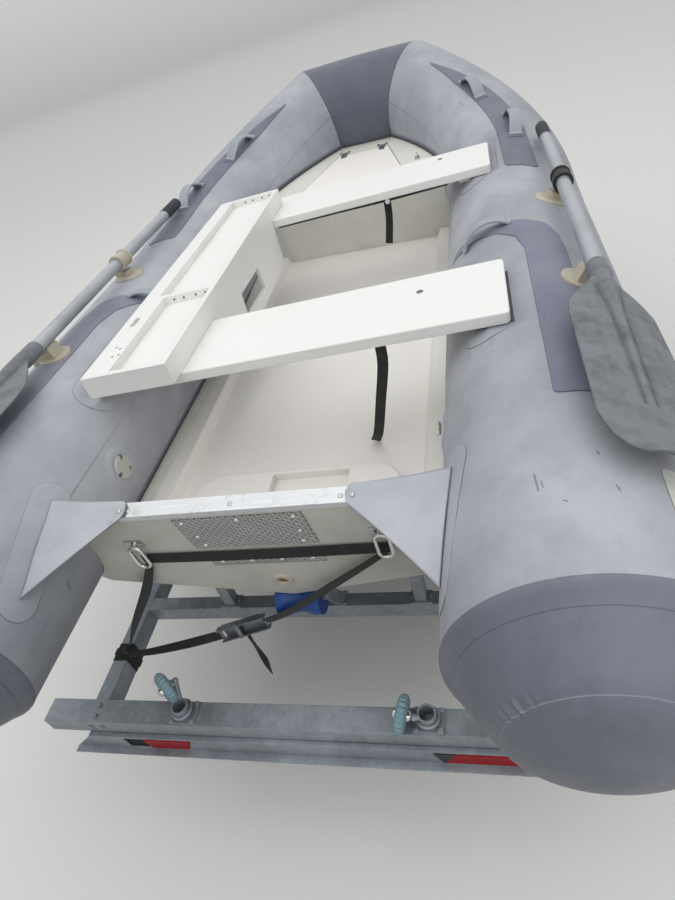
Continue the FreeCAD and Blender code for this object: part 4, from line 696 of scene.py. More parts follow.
RING = np.arange(96) * 2 * np.pi / 96
BOW_CORNER, BOW_ALONG = collar_line(RUN_3)[:2]
MITRE = BOW_ALONG - np.array([0, 1.0, 0])                  # normal of the port mitre plane
LAP_EDGE, LAP_RISE, LAP_FADE = 0.45, 0.0009, (35, 39)      # degrees, metres, degrees
BOW_LIFT, BOW_SWELL = 0.0004, 0.006
CAP_PROFILE = ((0.0, 0.2184), (-0.010, 0.2150), (-0.030, 0.1975), (-0.068, 0.1690), (-0.106, 0.1350),
               (-0.126, 0.0980), (-0.1365, 0.0550), (-0.1395, 0.0120))
CAP_SEAMS = ((-0.030, 0.2, 0.9), (-0.106, 1.0, -0.45))     # place, share of the puckers, grime line on the seam (a paler line where negative)
CAP_COLUMNS = 480
SEAM_STEP, SEAM_LINE = 0.0009, 0.0010
PUCKER_AT, PUCKER_SPREAD = 33, 13.0                        # degrees above inboard
PUCKER_ALL, PUCKER_LOCAL = 0.0002, 0.0034
PUCKER_AWAY, PUCKER_REACH = 0.005, 0.0065                  # forward of the seam


def make_side_tube(side, word):
    """Side tube: circles carried along the collar line, each running on to the bow mitre.

    The lap seam stands 0.9 mm proud at its angle and fades out between 35 and 39 degrees.
    """
    plain = [a for a in np.arange(0, 360, 3.75) if abs(a - LAP_ANGLE) > 1.2]
    theta = np.sort(np.concatenate([plain, LAP_ANGLE + LAP_EDGE * np.array([-1, 0, 1])]))
    last = np.full(len(theta), RUN_3)
    for _ in range(14):
        point = collar_line(last)[0] + radial(last, theta) * TUBE_R
        last = last - ((point - BOW_CORNER) @ MITRE) / (collar_line(last)[1] @ MITRE)
    share = np.linspace(0, 1, 300)[:, None]
    run, theta = np.broadcast_arrays(share * last, theta[None, :])
    lap = LAP_RISE * smooth(LAP_ANGLE - LAP_EDGE, LAP_ANGLE + LAP_EDGE, theta) * (1 - smooth(*LAP_FADE, theta))
    grime = np.clip(1 - np.abs(theta - LAP_ANGLE) / LAP_EDGE, 0, 1) * (0.55 + 0.3 * np.sin(7 * run))
    tube = shell("collar_fabric_" + word, skin(run, theta, lap, side), "light", grime=grime,
                 stands_for=["collar_" + word])


def make_bow_tube():
    """Blunt bow panel: circles carried straight across, each cut by the two mitre planes.

    The panel swells 6 mm half-way between them, a quarter wave of the share of the way.
    """
    ring = stack(np.cos(RING), 0 * RING, np.sin(RING))
    base = np.array([BOW_CORNER[0], 0, BOW_CORNER[2]]) + ring * (TUBE_R + BOW_LIFT)
    share = np.linspace(-1, 1, 50)[:, None]
    y = share * ((BOW_CORNER - base) @ MITRE) / MITRE[1]
    swell = BOW_SWELL * np.cos(np.pi / 2 * share)[..., None] * ring
    panel = shell("bow_panel_fabric", stack(base[:, 0], y, base[:, 2]) + swell + SHIFT, "bow",
                  grime=0.5 * smooth(0.97, 1.0, np.abs(share + 0 * y)), stands_for=["bow_panel"])


def make_stern_caps():
    """Stern caps: a domed cone turned about the tube's axis, with two glued seams round it.

    At each seam the aft panel lies 0.9 mm over the forward one. Puckers are short waves
    across the second seam: 0.3 mm all round, and up to 5 mm on the inboard upper side.
    Those across the first seam are a fifth as high.
    """
    curve = rounded(CAP_PROFILE, 10)
    near = np.array([-12, -6, -3, -1.6, -0.8, -0.35, 0, 0.35, 0.8, 1.6, 3, 6, 12]) * 0.001
    station = np.concatenate([curve[:, 0]] + [near + seam for seam, _, _ in CAP_SEAMS])
    station = np.sort(station[(station <= 0) & (station >= curve[-1, 0])])[::-1]
    station = station[np.concatenate([[True], np.diff(station) < -0.00015])]
    radius = np.interp(-station, -curve[:, 0], curve[:, 1])[:, None]
    phi = np.arange(CAP_COLUMNS) * 2 * np.pi / CAP_COLUMNS          # 0 inboard, a quarter turn at the top
    wave = np.sin(58 * phi + 2 * np.sin(5 * phi)) + 0.45 * np.sin(83 * phi + 1.3)
    high = PUCKER_ALL + PUCKER_LOCAL * np.exp(-((np.degrees(phi) - PUCKER_AT) / PUCKER_SPREAD) ** 2)
    push, grime = np.zeros((2, len(station), CAP_COLUMNS))
    for seam, share, line in CAP_SEAMS:
        away = (station - seam)[:, None]
        push += SEAM_STEP * (1 - smooth(-0.0004, 0.0004, away)) * smooth(-0.030, -0.010, away)
        push += share * np.exp(-((away - PUCKER_AWAY) / PUCKER_REACH) ** 2) * high * wave
        grime += np.clip(1 - np.abs(away - 0.0003) / SEAM_LINE, 0, 1) * line
    r = radius + push
    for side, word in SIDES:
        grid = stack(STERN_X + station[:, None], side * (TUBE_Y - r * np.cos(phi)), r * np.sin(phi)) + SHIFT
        cap = shell("stern_cap_fabric_" + word, grid, "dark", grime=grime,
                    stands_for=["stern_caps"] if side > 0 else ())


# Glued fabric


# Edges and lines on the tubes are given as (drawing x, angle)
AFT_OUTER = ((0.092, 111), (0.640, 111), (0.730, 109), (0.795, 103), (0.832, 90), (0.852, 75), (0.884, 56),
             (0.905, 33))
AFT_INNER = ((0.092, 87), (0.660, 87), (0.740, 83), (0.800, 71), (0.846, 53), (0.878, 29))
FORE_OUTER = ((1.240, 110), (1.500, 108), (1.750, 105), (2.020, 100), (2.250, 92), (2.420, 83))
FORE_INNER = ((1.280, 85), (1.600, 83), (1.900, 80), (2.180, 78), (2.405, 81.5))
WEAR_PATCHES = (("aft", "patch", AFT_OUTER, AFT_INNER), ("fore", "fore", FORE_OUTER, FORE_INNER))
GUSSET_BASE, GUSSET_FOOT = ((0.046, 32.0), (-0.172, 17.5)), 0.043
GUSSET_TIP = np.array([0.014, CAP_HALF - 0.020, TRANSOM_TOP + 0.0095])
GUSSET_LIFT, GUSSET_T, GUSSET_NOSE, GUSSET_SAG = 0.0035, 0.0036, 0.018, 0.003
SEAT_PADS = {             # a pad for each seat: its start forward of the seat's aft edge, angle, radius
    "port": ((0.017, 46.5, 0.058), (0.017, 46.5, 0.058)),
    "starboard": ((0.029, 60.0, 0.066), (0.023, 60.0, 0.075)),
}
PAD_T, FOOT_T, SCUFF_T = 0.0012, 0.0016, 0.0004
NUMBER_X, NUMBER_ANGLES = (-0.245, -0.067), (120.0, 149.0)
SCUFFS = {                # both ends of each rubbed mark, and its half width
    "port": (((-0.0752, -2.0), (-0.0818, -7.0), 0.0020),),
    "starboard": (((-0.085, 74.5), (-0.118, 75.2), 0.0014), ((-0.101, 76.6), (-0.114, 77.0), 0.0009),
                  ((-0.0525, 98.0), (-0.0600, 98.5), 0.0013), ((-0.121, 101.5), (-0.131, 102.4), 0.0011),
                  ((-0.1445, 83.0), (-0.1480, 84.4), 0.0010)),
}
HANDLES = ((1.640, 98.0), (2.060, 86.0))
HANDLE_SPAN, HANDLE_RISE, HANDLE_W, HANDLE_T = 0.220, 0.046, 0.040, 0.005
GRAB_X, GRAB_ANGLES, GRAB_RISE, GRAB_W = 0.836, (46.0, 82.0), 0.030, 0.034


def fabric_patch(name, place, side, material, wrap=False, thickness=PATCH_T, edge_line=1.0, **rest):
    """Doubling glued on a tube: a (rows, columns) grid of run and angle, lifted by its thickness.

    The outermost ring of points is rounded off and takes the grime line.
    """
    rim = np.zeros(place.shape[:2])
    rim[-1] = 1
    if not wrap:
        rim[0] = rim[:, 0] = rim[:, -1] = 1
    top = skin(place[..., 0], place[..., 1], thickness * (1 - 0.45 * rim), side)
    bottom = skin(place[..., 0], place[..., 1], -0.002, side)
    return slab(name, top, bottom, material, wrap=wrap, grime=rim * edge_line, **rest)


def edge_curve(knots, share):
    """Points of an edge's knots at equal shares of their length over the skin."""
    knots = np.array(knots, float)
    step = np.hypot(np.diff(knots[:, 0]), np.radians(np.diff(knots[:, 1])) * TUBE_R)
    place = np.concatenate([[0], np.cumsum(step)]) / np.sum(step)
    return stack(np.interp(share, place, knots[:, 0]), np.interp(share, place, knots[:, 1]))


def between(edge_a, edge_b, corner=0.010, rows=110, columns=26):
    """Grid of run and angle between two edges, its four corners rounded by drawing the sides in."""
    fine = corner * np.array([0, 0.05, 0.15, 0.3, 0.5, 0.75, 1.0])
    share = np.concatenate([fine, np.linspace(corner, 1 - corner, rows)[1:-1], 1 - fine[::-1]])
    a, b = edge_curve(edge_a, share), edge_curve(edge_b, share)
    near_end = np.clip(np.minimum(share, 1 - share) / corner, 0, 1)
    inset = 0.13 * (1 - np.sqrt(1 - (1 - near_end) ** 2))
    w = np.concatenate([[0, 0.012], np.linspace(0, 1, columns)[1:-1], [0.988, 1]])
    w = inset[:, None] + (1 - 2 * inset[:, None]) * w
    place = a[:, None] * (1 - w[..., None]) + b[:, None] * w[..., None]
    return stack(run_at(place[..., 0]), place[..., 1])


def stadium(start, end, radius, rows=12):
    """Grid of run and angle of a round-ended strip about a spine from start to end."""
    start, end = (np.array([run_at(x), math.radians(a) * TUBE_R]) for x, a in (start, end))
    along = unit(end - start)
    left = np.array([-along[1], along[0]])
    q = np.linspace(0, 1, 40)[:, None]
    turn = np.linspace(0, math.pi, 24)[1:-1, None]
    spine = np.concatenate([start + (end - start) * q, 0 * turn + end,
                            end - (end - start) * q, 0 * turn + start])
    reach = np.concatenate([0 * q + left, around(turn[:, 0], left, along), 0 * q - left,
                            -around(turn[:, 0], left, along)])
    v = np.concatenate([np.linspace(0, 0.95, rows), [0.97, 1.0]])[:, None, None]
    place = spine + v * reach * radius
    return stack(place[..., 0], np.degrees(place[..., 1] / TUBE_R))


def make_doublings():
    """Wear patches, pads under the seat ends, feet of the gussets, the bare number patches and rubbed marks."""
    for side, word in SIDES:
        inward = np.array([0, PORT_INWARD if side > 0 else 0.0])
        for part, look, outer, inner in WEAR_PATCHES:
            fabric_patch("wear_patch_%s_%s" % (part, word), between(outer, inner) + inward, side, look,
                         edge_line=0.5, stands_for=["wear_patches"] if side > 0 and part == "aft" else ())
        for (start, angle, radius), x, part in zip(SEAT_PADS[word], SEAT_X, ("aft", "forward")):
            place = stadium((x + start, angle), (x + SEAT_W - start, angle), radius)
            fabric_patch("seat_pad_%s_%s" % (part, word), place, side, "light", True, PAD_T)
        fabric_patch("gusset_foot_" + word, stadium(*GUSSET_BASE, GUSSET_FOOT), side, "gusset", True, FOOT_T)
        edges = [[(x, angle) for x in NUMBER_X] for angle in NUMBER_ANGLES]
        fabric_patch("number_patch_" + word, between(*edges, 0.06, 30), side, "number", thickness=PAD_T)
    for side, word in SIDES:
        for number, (start, end, half) in enumerate(SCUFFS[word]):
            fabric_patch("scuff_%s_%d" % (word, number + 1), stadium(start, end, half, 2), side, "patch", True,
                         SCUFF_T, 0.4, slot="fabric_light")


def make_gussets():
    """Gussets: a sheet 4 mm thick from a rounded tip on the cap to a line on the tube.

    Each point is tip + (base - tip) * u, where the base runs along the tube's skin; it
    sags 3 mm at its middle.
    """
    u = np.concatenate([[0, 0.003, 0.01, 0.02, 0.035, 0.05], np.linspace(0.08, 0.985, 24), [1.0]])[:, None]
    v = np.linspace(0, 1, 36)
    (x0, a0), (x1, a1) = GUSSET_BASE
    nose = GUSSET_NOSE * np.sqrt(1 - (1 - np.clip(u / 0.05, 0, 1)) ** 2) * (1 - u)
    sag = -GUSSET_SAG * np.sin(np.pi * u) * np.sin(np.pi * v) + 0.0012 * np.sin(9 * v + 3 * u)
    grime = np.zeros(sag.shape)
    grime[-1] = 0.9
    grime[:, 0] = grime[:, -1] = 0.5
    for side, word in SIDES:
        base = skin(run_at(x0 + (x1 - x0) * v), a0 + (a1 - a0) * v, GUSSET_LIFT, side)
        tip = GUSSET_TIP * (1, side, 1) + SHIFT
        along = unit(base[0] - base[-1])
        grid = (tip + along * (nose * (1 - 2 * v))[..., None]) * (1 - u[..., None]) + base * u[..., None]
        normal = unit(np.cross(base[0] - tip, base[-1] - tip)) * side
        grid = grid + normal * sag[..., None]
        slab("gusset_fabric_" + word, grid + normal * GUSSET_T / 2, grid - normal * GUSSET_T / 2, "gusset",
             grime=grime, stands_for=["gussets"] if side > 0 else ())
        rivet = tip - SHIFT + unit(base[18] - tip) * 0.014
        heads("gusset_rivet_" + word, "gusset_rivet", rivet + normal * 0.001, normal)


def make_handles():
    """Carry handles: webbing arches on sewn feet; their height is a smooth rise and fall of the run.

    The grab handles are arches of the same kind that go round the tube.
    """
    half = HANDLE_SPAN / 2
    s, q = np.linspace(-half, half, 61), np.linspace(-1, 1, 61)
    arch = np.cos(np.pi / 2 * np.clip(np.abs(s) / (half - 0.020), 0, 1)) ** 0.75
    width = HANDLE_W - 0.004 * smooth(0.3, 0.8, 1 - np.abs(s) / half)
    grab = np.cos(np.pi / 2 * np.clip(np.abs(q) / 0.88, 0, 1)) ** 0.8
    for side, word in SIDES:
        inward = PORT_INWARD if side > 0 else 0.0
        for number, (x, angle) in enumerate(HANDLES):
            run, theta = run_at(x) + s, angle + inward
            line = skin(run, theta, 0.006 + (HANDLE_RISE - 0.009) * arch, side)
            _, _, out, up = collar_line(run)
            t = math.radians(theta)
            across = (out * math.sin(t) + up * math.cos(t)) * np.array([1, side, 1])
            ribbon("carry_handle_%s_%d" % (word, number + 1), line, across, width, HANDLE_T, "handle",
                   stands_for=["carry_handles"] if side > 0 and number == 0 else ())
            for end, at in (("aft", -1), ("fore", 1)):
                foot = run_at(x) + at * np.array([half - 0.034, half + 0.010])
                edges = [[(np.interp(r, RUN_TABLE, X_TABLE), theta + a) for r in foot] for a in (-6.4, 6.4)]
                fabric_patch("handle_foot_%s_%s_%d" % (end, word, number + 1), between(*edges, 0.08, 12, 12),
                             side, "patch", thickness=2 * PATCH_T)
        theta = np.linspace(*GRAB_ANGLES, 61) + inward
        line = skin(run_at(GRAB_X), theta, PATCH_T + 0.003 + (GRAB_RISE - 0.005) * grab, side)
        ribbon("grab_handle_" + word, line, (1, 0, 0), GRAB_W, HANDLE_T, "handle")


# Fittings


VALVE_X, VALVE_ANGLE, VALVE_NOTCHES = 0.246, 6.0, (60, 190, 310)           # the notches in degrees
VALVE_RISE, VALVE_EDGE, NOTCH_DEPTH, RING_RISE = 0.0052, 0.0035, 0.0042, 0.0035
VALVE_RADII = (0, 0.010, 0.018, 0.0205, 0.0225, 0.025, 0.0275, 0.0295, 0.0305, 0.031)
DECK_Z = 0.120
GASKETS = ((0.0, 0.002, 0.0042, "gasket"), (2.4, 0.0005, 0.0036, "dark"))   # angle up the tube, lift, radius
GASKET_PARTS = {"aft": 1.0, "fore": 1.3}                                    # and how much thicker each part is
TREAD_PITCH, TREAD_T, TREAD_RISE, TREAD_STEP = 0.0085, 0.003, 0.0011, 0.0014
TREAD_PLATES = (          # half width, lowest and highest edge on the upright transom
    ("tread_plate_upper", PLATE_HALF, -0.042, 0.074),
    ("tread_plate_lower", PLATE_HALF - 0.007, -0.122, -0.088),
)
PLATE_SCREWS = ((0.122, 0.060), (0.112, 0.006), (0.0, 0.062), (-0.118, 0.062), (-0.114, 0.008), (0.110, -0.030),
                (-0.108, -0.032), (0.105, -0.105), (0.035, -0.105), (-0.035, -0.105), (-0.105, -0.105))
CAP_SCREWS, DRAIN_Z = (0.2274, 0.0006, -0.2203), -0.206
SEAT_SCREWS = ((0.533, -0.360), (1.505, -0.386))
TRAY_Y0, TRAY_Y1, TRAY_H, TRAY_SLANT = 0.200, 0.432, 0.056, 0.014
TRAY_CELLS = ((0.338, 0.697, 0.074), (0.720, 1.455, 0.052))    # aft end, forward end, width of the outboard rim
TRAY_WALL, CELL_DEPTH, LINER_T = 0.016, 0.020, 0.003
TRAY_RIM_SCREWS = ((0.442, 0.377), (0.411, 0.366), (0.406, 0.382), (0.452, 0.392))
TRAY_END_SCREWS = (0.232, 0.262, 0.300, 0.330)
SEAT_END_PIECES = (          # x and y limits, and depths of its faces below the seats' underside
    # A thin dark sheet in the gap under the aft seat's starboard end: painted shadow.
    ("seat_end_shade_strip_aft", "gasket", (0.374, 0.604), (-0.556, -0.474), (0.0004, 0.0044)),
    ("seat_block_forward", "board", (1.336, 1.374), (-0.487, -0.446), (0.0002, 0.0150)),
)


def make_valves():
    """Air valves: a flat flange 31 mm in radius with three finger notches, sunk in a swollen fabric ring."""
    r = np.array(VALVE_RADII)
    turned = [(np.degrees(RING) - a + 180) % 360 - 180 for a in VALVE_NOTCHES]
    notch = np.max([np.clip(1 - np.abs(a) / 14, 0, 1) for a in turned], 0)
    notch = smooth(0, 0.5, notch) * smooth(0.0185, 0.0215, r)[:, None]
    height = VALVE_RISE - VALVE_EDGE * smooth(0.0285, 0.031, r)[:, None] - NOTCH_DEPTH * notch
    spread = np.linspace(0.028, 0.062, 12)
    swell = RING_RISE * np.sin(np.pi * np.clip((spread - 0.024) / 0.038, 0, 1)) ** 2
    run = float(run_at(VALVE_X))
    for side, word in SIDES:
        foot = skin(run, VALVE_ANGLE, 0.0, side)
        normal = radial(run, VALVE_ANGLE) * np.array([1, side, 1])
        turn = around(RING, np.array([1.0, 0, 0]), np.cross(normal, (1.0, 0, 0)))
        grid = foot + r[:, None, None] * turn + normal * height[..., None]
        base = grid - normal * (height[..., None] + 0.004)
        # The notches are painted dark as well as sunk: painted shade in the recesses.
        slab("valve_flange_" + word, grid, base, "valve", wrap=True, grime=notch,
             stands_for=["air_valves"] if side > 0 else ())
        flat = foot + spread[:, None, None] * turn
        angle = np.degrees(np.arctan2(flat[..., 2] - SHIFT[2], TUBE_Y - flat[..., 1] * side))
        at = run_at(flat[..., 0] - SHIFT[0])
        slab("valve_ring_" + word, skin(at, angle, swell[:, None] - 0.0006, side),
             skin(at, angle, -0.003, side), "light", wrap=True, grime=np.zeros(angle.shape))


def deck_line():
    """Runs along the tube and the angles at which its skin meets the side ledge or the bow deck."""
    run = np.linspace(run_at(0.066), RUN_3 - 0.045, 220)
    height = np.where(collar_line(run)[0][:, 0] < BULKHEAD_X, LEDGE_Z + 0.014, DECK_Z)
    theta = np.linspace(-80, 80, 161)
    level = [collar_line(r)[0][2] + radial(r, theta)[:, 2] * TUBE_R for r in run]
    return run, np.array([np.interp(h, z, theta) for h, z in zip(height, level)])


def make_gaskets():
    """Rubber gaskets between the tubes and the deck: round beads 7 to 11 mm across, along the joint."""
    run, theta = deck_line()
    split = int(np.argmax(np.abs(np.diff(theta)))) + 1
    phi = np.arange(10) * 2 * np.pi / 10
    for side, word in SIDES:
        for part, rows in (("aft", slice(0, split)), ("fore", slice(split, None))):
            for layer, (shift, lift, radius, material) in enumerate(GASKETS):
                line = skin(run[rows], theta[rows] + shift, lift, side)
                along = unit(np.gradient(line, axis=0))
                level = unit(np.cross(along, (0, 0, 1.0)))
                ring = around(phi, level[:, None], np.cross(level, along)[:, None]) * GASKET_PARTS[part]
                shell("gasket_%s_%s_%d" % (part, word, layer + 1), line[:, None] + radius * ring, material)
    back = math.sqrt((TUBE_R + 0.004) ** 2 - (DECK_Z - BOW_CORNER[2]) ** 2)
    foot = np.array([BOW_CORNER[0] - back, 0, DECK_Z])
    reach = ((BOW_CORNER - foot) @ MITRE) / MITRE[1]
    bead = lathe(foot - (0, reach, 0), (0, 1, 0), ((0, 0.0055), (2 * reach, 0.0055)), 12)
    shell("gasket_bow", bead, "gasket")


def make_transom_fittings():
    """Tread plates and their fastenings.

    Each cell of the tread has one bar: a flattened dome, longer than wide, turned 45
    degrees one way in even cells and the other way in odd ones.
    """
    for name, half, low, high in TREAD_PLATES:
        gy, gz = np.meshgrid(np.linspace(-half, half, int(2 * half / TREAD_STEP)),
                             np.linspace(low, high, int((high - low) / TREAD_STEP)))
        cy, cz = np.floor(gy / TREAD_PITCH), np.floor(gz / TREAD_PITCH)
        ly, lz = gy / TREAD_PITCH - cy - 0.5, gz / TREAD_PITCH - cz - 0.5
        way = np.where((cy + cz) % 2 == 0, 1, -1)
        a, b = (ly + way * lz) / 1.414, (ly - way * lz) / 1.414
        bar = TREAD_RISE * np.sqrt(np.clip(1 - (a / 0.64) ** 2 - (b / 0.14) ** 2, 0, 1))
        top, bottom = [raked(stack(x, gy, gz)) + SHIFT for x in (-TREAD_T - bar, 0 * bar)]
        slab(name, top, bottom, "plate", grime=0.7 - 0.7 * np.clip(bar / 0.0005, 0, 1),
             stands_for=["engine_plates"] if name.endswith("upper") else ())
    aft, up = raked([(-1.0, 0, TRANSOM_TOP), (0, 0, 1 + TRANSOM_TOP)]) - raked((0, 0, TRANSOM_TOP))
    heads("plate_screws", "plate_screw", raked([(-TREAD_T, y, z) for y, z in PLATE_SCREWS]), aft)
    heads("cap_screws", "cap_screw", raked([(0.012, y, TRANSOM_TOP + 0.0025) for y in CAP_SCREWS]), up)
    hollow = lathe(raked((0.001, 0, DRAIN_Z)), aft, ((0, 0.0145), (0.0014, 0.0135), (0.0012, 0.006)), 32)
    shell("drain_hollow", hollow, "stain")


def make_seat_fittings():
    """Tray liners, the screws in the seats and the tray, a block under the forward seat's starboard end and a
    thin dark strip of painted shadow under the aft seat's.

    A liner is a flat sheet 3 mm thick, parallel to the rim and 20 mm below it, as shallow
    as the cells look.
    """
    boards = [(x, y, seat_under(y) + SEAT_T) for x, y in SEAT_SCREWS]
    heads("seat_screws", "seat_screw", boards, (0, 0, 1))
    slope = (seat_under(TRAY_Y1) - seat_under(TRAY_Y0)) / (TRAY_Y1 - TRAY_Y0)

    def rim_height(y, below=0.0):
        return seat_under(TRAY_Y0) + SEAT_T + TRAY_H + slope * (y - TRAY_Y0) - below

    for number, (x0, x1, outer) in enumerate(TRAY_CELLS):
        x, y = np.meshgrid(np.linspace(x0, x1, 60), np.linspace(TRAY_Y0 + TRAY_WALL, TRAY_Y1 - outer, 24))
        dip = 0.0006 * np.sin(23 * x) * np.sin(31 * y)
        faces = [stack(x, y, rim_height(y, CELL_DEPTH + a) + dip) + SHIFT for a in (0.0, LINER_T)]
        slab("tray_liner_%d" % (number + 1), *faces, "board")
    rim = [(x, y, rim_height(y)) for x, y in TRAY_RIM_SCREWS]
    heads("tray_rim_screws", "tray_rim_screw", rim, (0, 0, 1))
    ends = [(x1 + 0.0022, y, rim_height(y, 0.010)) for _, x1, _ in TRAY_CELLS for y in TRAY_END_SCREWS]
    heads("tray_end_screws", "tray_end_screw", ends, unit((-TRAY_H, 0, TRAY_SLANT)))
    for name, material, x_span, y_span, depths in SEAT_END_PIECES:
        x, y = np.meshgrid(np.linspace(*x_span, 12), np.linspace(*y_span, 8), indexing="ij")
        slab(name, *[stack(x, y, seat_under(y) - depth) + SHIFT for depth in depths], material)


# Straps


STRAP_W, STRAP_T = 0.025, 0.0016
EX, EY, EZ = raked((-0.005, 0.282, -0.064))             # the port towing eye
AFT_X, FORE_X = SEAT_X
RATCHET_FOLD, RATCHET_HAND = (0.048, 0.091, -0.350), (0.030, 0.219, -0.380)
WRAP_X = 0.036
UP, FACING = (-math.sin(RAKE), 0, math.cos(RAKE)), (0.25, 0, 0.97)
STRAPS = (                # name, knots, the width's direction at each knot or at all, and the width likewise
    ("seat_strap_aft",
     ((AFT_X + 0.025, -0.273, seat_under(-0.273)), (AFT_X + 0.031, -0.267, 0.120),
      (AFT_X + 0.048, -0.238, 0.010), (AFT_X + 0.062, -0.211, -0.090), (AFT_X + 0.083, -0.191, -0.139)),
     ((0.1, 1, 0), (0, 1, 0), (-0.2, 1, 0), (0.1, 1, 0), (0.1, 1, 0)), STRAP_W),
    ("seat_strap_forward",
     ((FORE_X + 0.024, -0.206, seat_under(-0.206)), (FORE_X + 0.020, -0.201, 0.110),
      (FORE_X + 0.010, -0.186, 0.030)),
     ((0, 1, 0), (0.15, 1, 0), (-0.1, 1, 0)), STRAP_W),
    ("seat_strap_under",
     ((FORE_X + 0.010, -0.410, seat_under(-0.410) - 0.001),
      (FORE_X + 0.009, -0.222, seat_under(-0.222) - 0.0035),
      (FORE_X + 0.009, -0.060, seat_under(-0.060) - 0.0015),
      (FORE_X + 0.010, 0.185, seat_under(0.185) - 0.001)),
     (1, 0, 0.12), STRAP_W),
    ("tie_strap_across",
     ((EX, EY, EZ), (EX - 0.004, EY * 0.9, EZ - 0.001), (EX - 0.005, 0, EZ - 0.003),
      (EX - 0.004, -EY * 0.9, EZ - 0.001), (EX, -EY, EZ)),
     (UP, FACING, FACING, FACING, UP), (0.014, 0.024, STRAP_W, 0.024, 0.014)),
    ("tie_strap_starboard",
     ((EX - 0.001, -EY + 0.003, EZ + 0.004), (EX - 0.004, -EY + 0.016, EZ - 0.016), (0.034, -0.130, -0.190),
      (0.042, 0.010, -0.300), RATCHET_FOLD),
     UP, (0.011, 0.016, STRAP_W, STRAP_W, STRAP_W)),
    ("tie_strap_to_rail",
     (RATCHET_HAND, (0.024, 0.330, -0.412), (0.020, 0.440, -0.440), (WRAP_X - 0.014, 0.532, -0.462)),
     ((0.3, 0, 1), (0.7, 0, 0.7), (1, 0, 0.3), (1, 0, 0.1)), (STRAP_W, 0.023, 0.020, 0.016)),
    ("tie_strap_port",
     ((EX - 0.001, EY - 0.003, EZ + 0.004), (EX - 0.003, EY - 0.009, EZ - 0.014), (0.030, 0.335, -0.180),
      (0.038, 0.440, -0.320), (WRAP_X + 0.012, 0.535, -0.456)),
     ((1, 0.1, 0), (0.8, -0.4, -0.3), (0.5, -0.7, -0.5), (0.7, -0.5, -0.4), (1, 0, 0)),
     (0.012, 0.018, STRAP_W, 0.024, 0.015)),
    ("tie_strap_tail",
     ((0.038, 0.151, -0.386), (0.026, 0.140, -0.424), (0.008, 0.122, -0.470), (-0.004, 0.113, -0.500)),
     ((1, 0.4, 0), (0.9, 0.5, 0), (1, 0.2, 0), (0.9, 0.6, 0)), STRAP_W),
)
STRAP_NODES = {"seat_strap_aft": ["seat_straps"], "tie_strap_across": ["tie_down_strap"]}
STRAP_WRAPS = ((0.020, 0.0018), (0.047, 0.0018), (0.034, 0.0042))        # place along the rail, height above it
KNOT_ROWS = ((-0.016, 0.006), (-0.010, 0.011), (0, 0.0125), (0.011, 0.011), (0.017, 0.007))


def rail_wrap(x, above):
    """Closed line round the port rail at station x, with rounded corners."""
    half_y, half_z, bend = RAIL_W / 2 + above, RAIL_H / 2 + above, 0.004
    phi = np.linspace(0, 2 * np.pi, 49)
    y = np.clip(np.cos(phi) * 9, -1, 1) * (half_y - bend) + bend * np.cos(phi)
    z = np.clip(np.sin(phi) * 9, -1, 1) * (half_z - bend) + bend * np.sin(phi)
    return stack(x + 0 * phi, RAIL_Y + y, BEAM_TOP - RAIL_H / 2 + z) + SHIFT


def make_straps():
    """Straps under the seats, and the tie-down strap through the towing eyes to the port rail.

    Each is webbing on a smooth line through its knots. Three turns and a knotted end hold
    the tie-down to the rail; the knot is a bead whose radius has five soft folds.
    """
    for name, knots, across, width in STRAPS:
        line = rounded(knots, 10) + SHIFT
        turn = rounded(np.broadcast_to(np.asarray(across, float), (len(knots), 3)), 10)
        share = np.linspace(0, 1, len(knots))
        width = np.interp(np.linspace(0, 1, len(line)), share, np.broadcast_to(width, len(knots)))
        ribbon(name, line, turn, width, STRAP_T, "webbing", stands_for=STRAP_NODES.get(name, ()))
    heads("seat_strap_buckle", "strap_buckle", (FORE_X - 0.003, -0.210, seat_under(-0.210) - 0.006),
          (-1, 0, 0.3))
    for number, (x, above) in enumerate(STRAP_WRAPS):
        ribbon("tie_strap_wrap_%d" % (number + 1), rail_wrap(x, above), (1, 0, 0), STRAP_W - 0.003 * number,
               STRAP_T, "webbing")
    knot = lathe((WRAP_X, 0.537, -0.459), (0.3, 1, 0.1), KNOT_ROWS, 24,
                 lambda a, r, phi: 0.0016 * np.sin(5 * phi + 160 * a))
    shell("tie_strap_knot", knot, "webbing", uv=np.zeros(knot.shape[:2] + (2,)))


# Oars


BLADE_HALF = ((0, 0.020), (0.03, 0.033), (0.062, 0.053), (0.10, 0.0715), (0.15, 0.0808), (0.40, 0.0825),
              (0.44, 0.0800), (0.474, 0.068), (0.491, 0.050), (0.5, 0.026))
SPINE_ROWS = ((0, 0.0205, 0.0185), (0.068, 0.0195, 0.0175), (0.110, 0.0150, 0.0130), (0.20, 0.0115, 0.0100),
              (0.38, 0.0045, 0.0080), (0.43, 0, 0.007))          # distance from the neck, height, width
CUP, BLADE_T, BEAD, BEAD_AT = 0.007, 0.0030, 0.0016, 0.048
NECK_ROWS = ((-0.060, 0.0190), (-0.056, 0.0205), (-0.010, 0.0212), (0.004, 0.0210), (0.020, 0.0185))
ROWLOCK_X = 0.985
CLAMP_ROWS = ((-0.0305, 0.0180), (-0.0305, 0.0259), (-0.0215, 0.0259), (-0.0210, 0.0229), (0.0210, 0.0229),
              (0.0215, 0.0259), (0.0305, 0.0259), (0.0305, 0.0180), (-0.0305, 0.0180))
CLAMP_LOOK = {"port": "beige", "starboard": "black"}


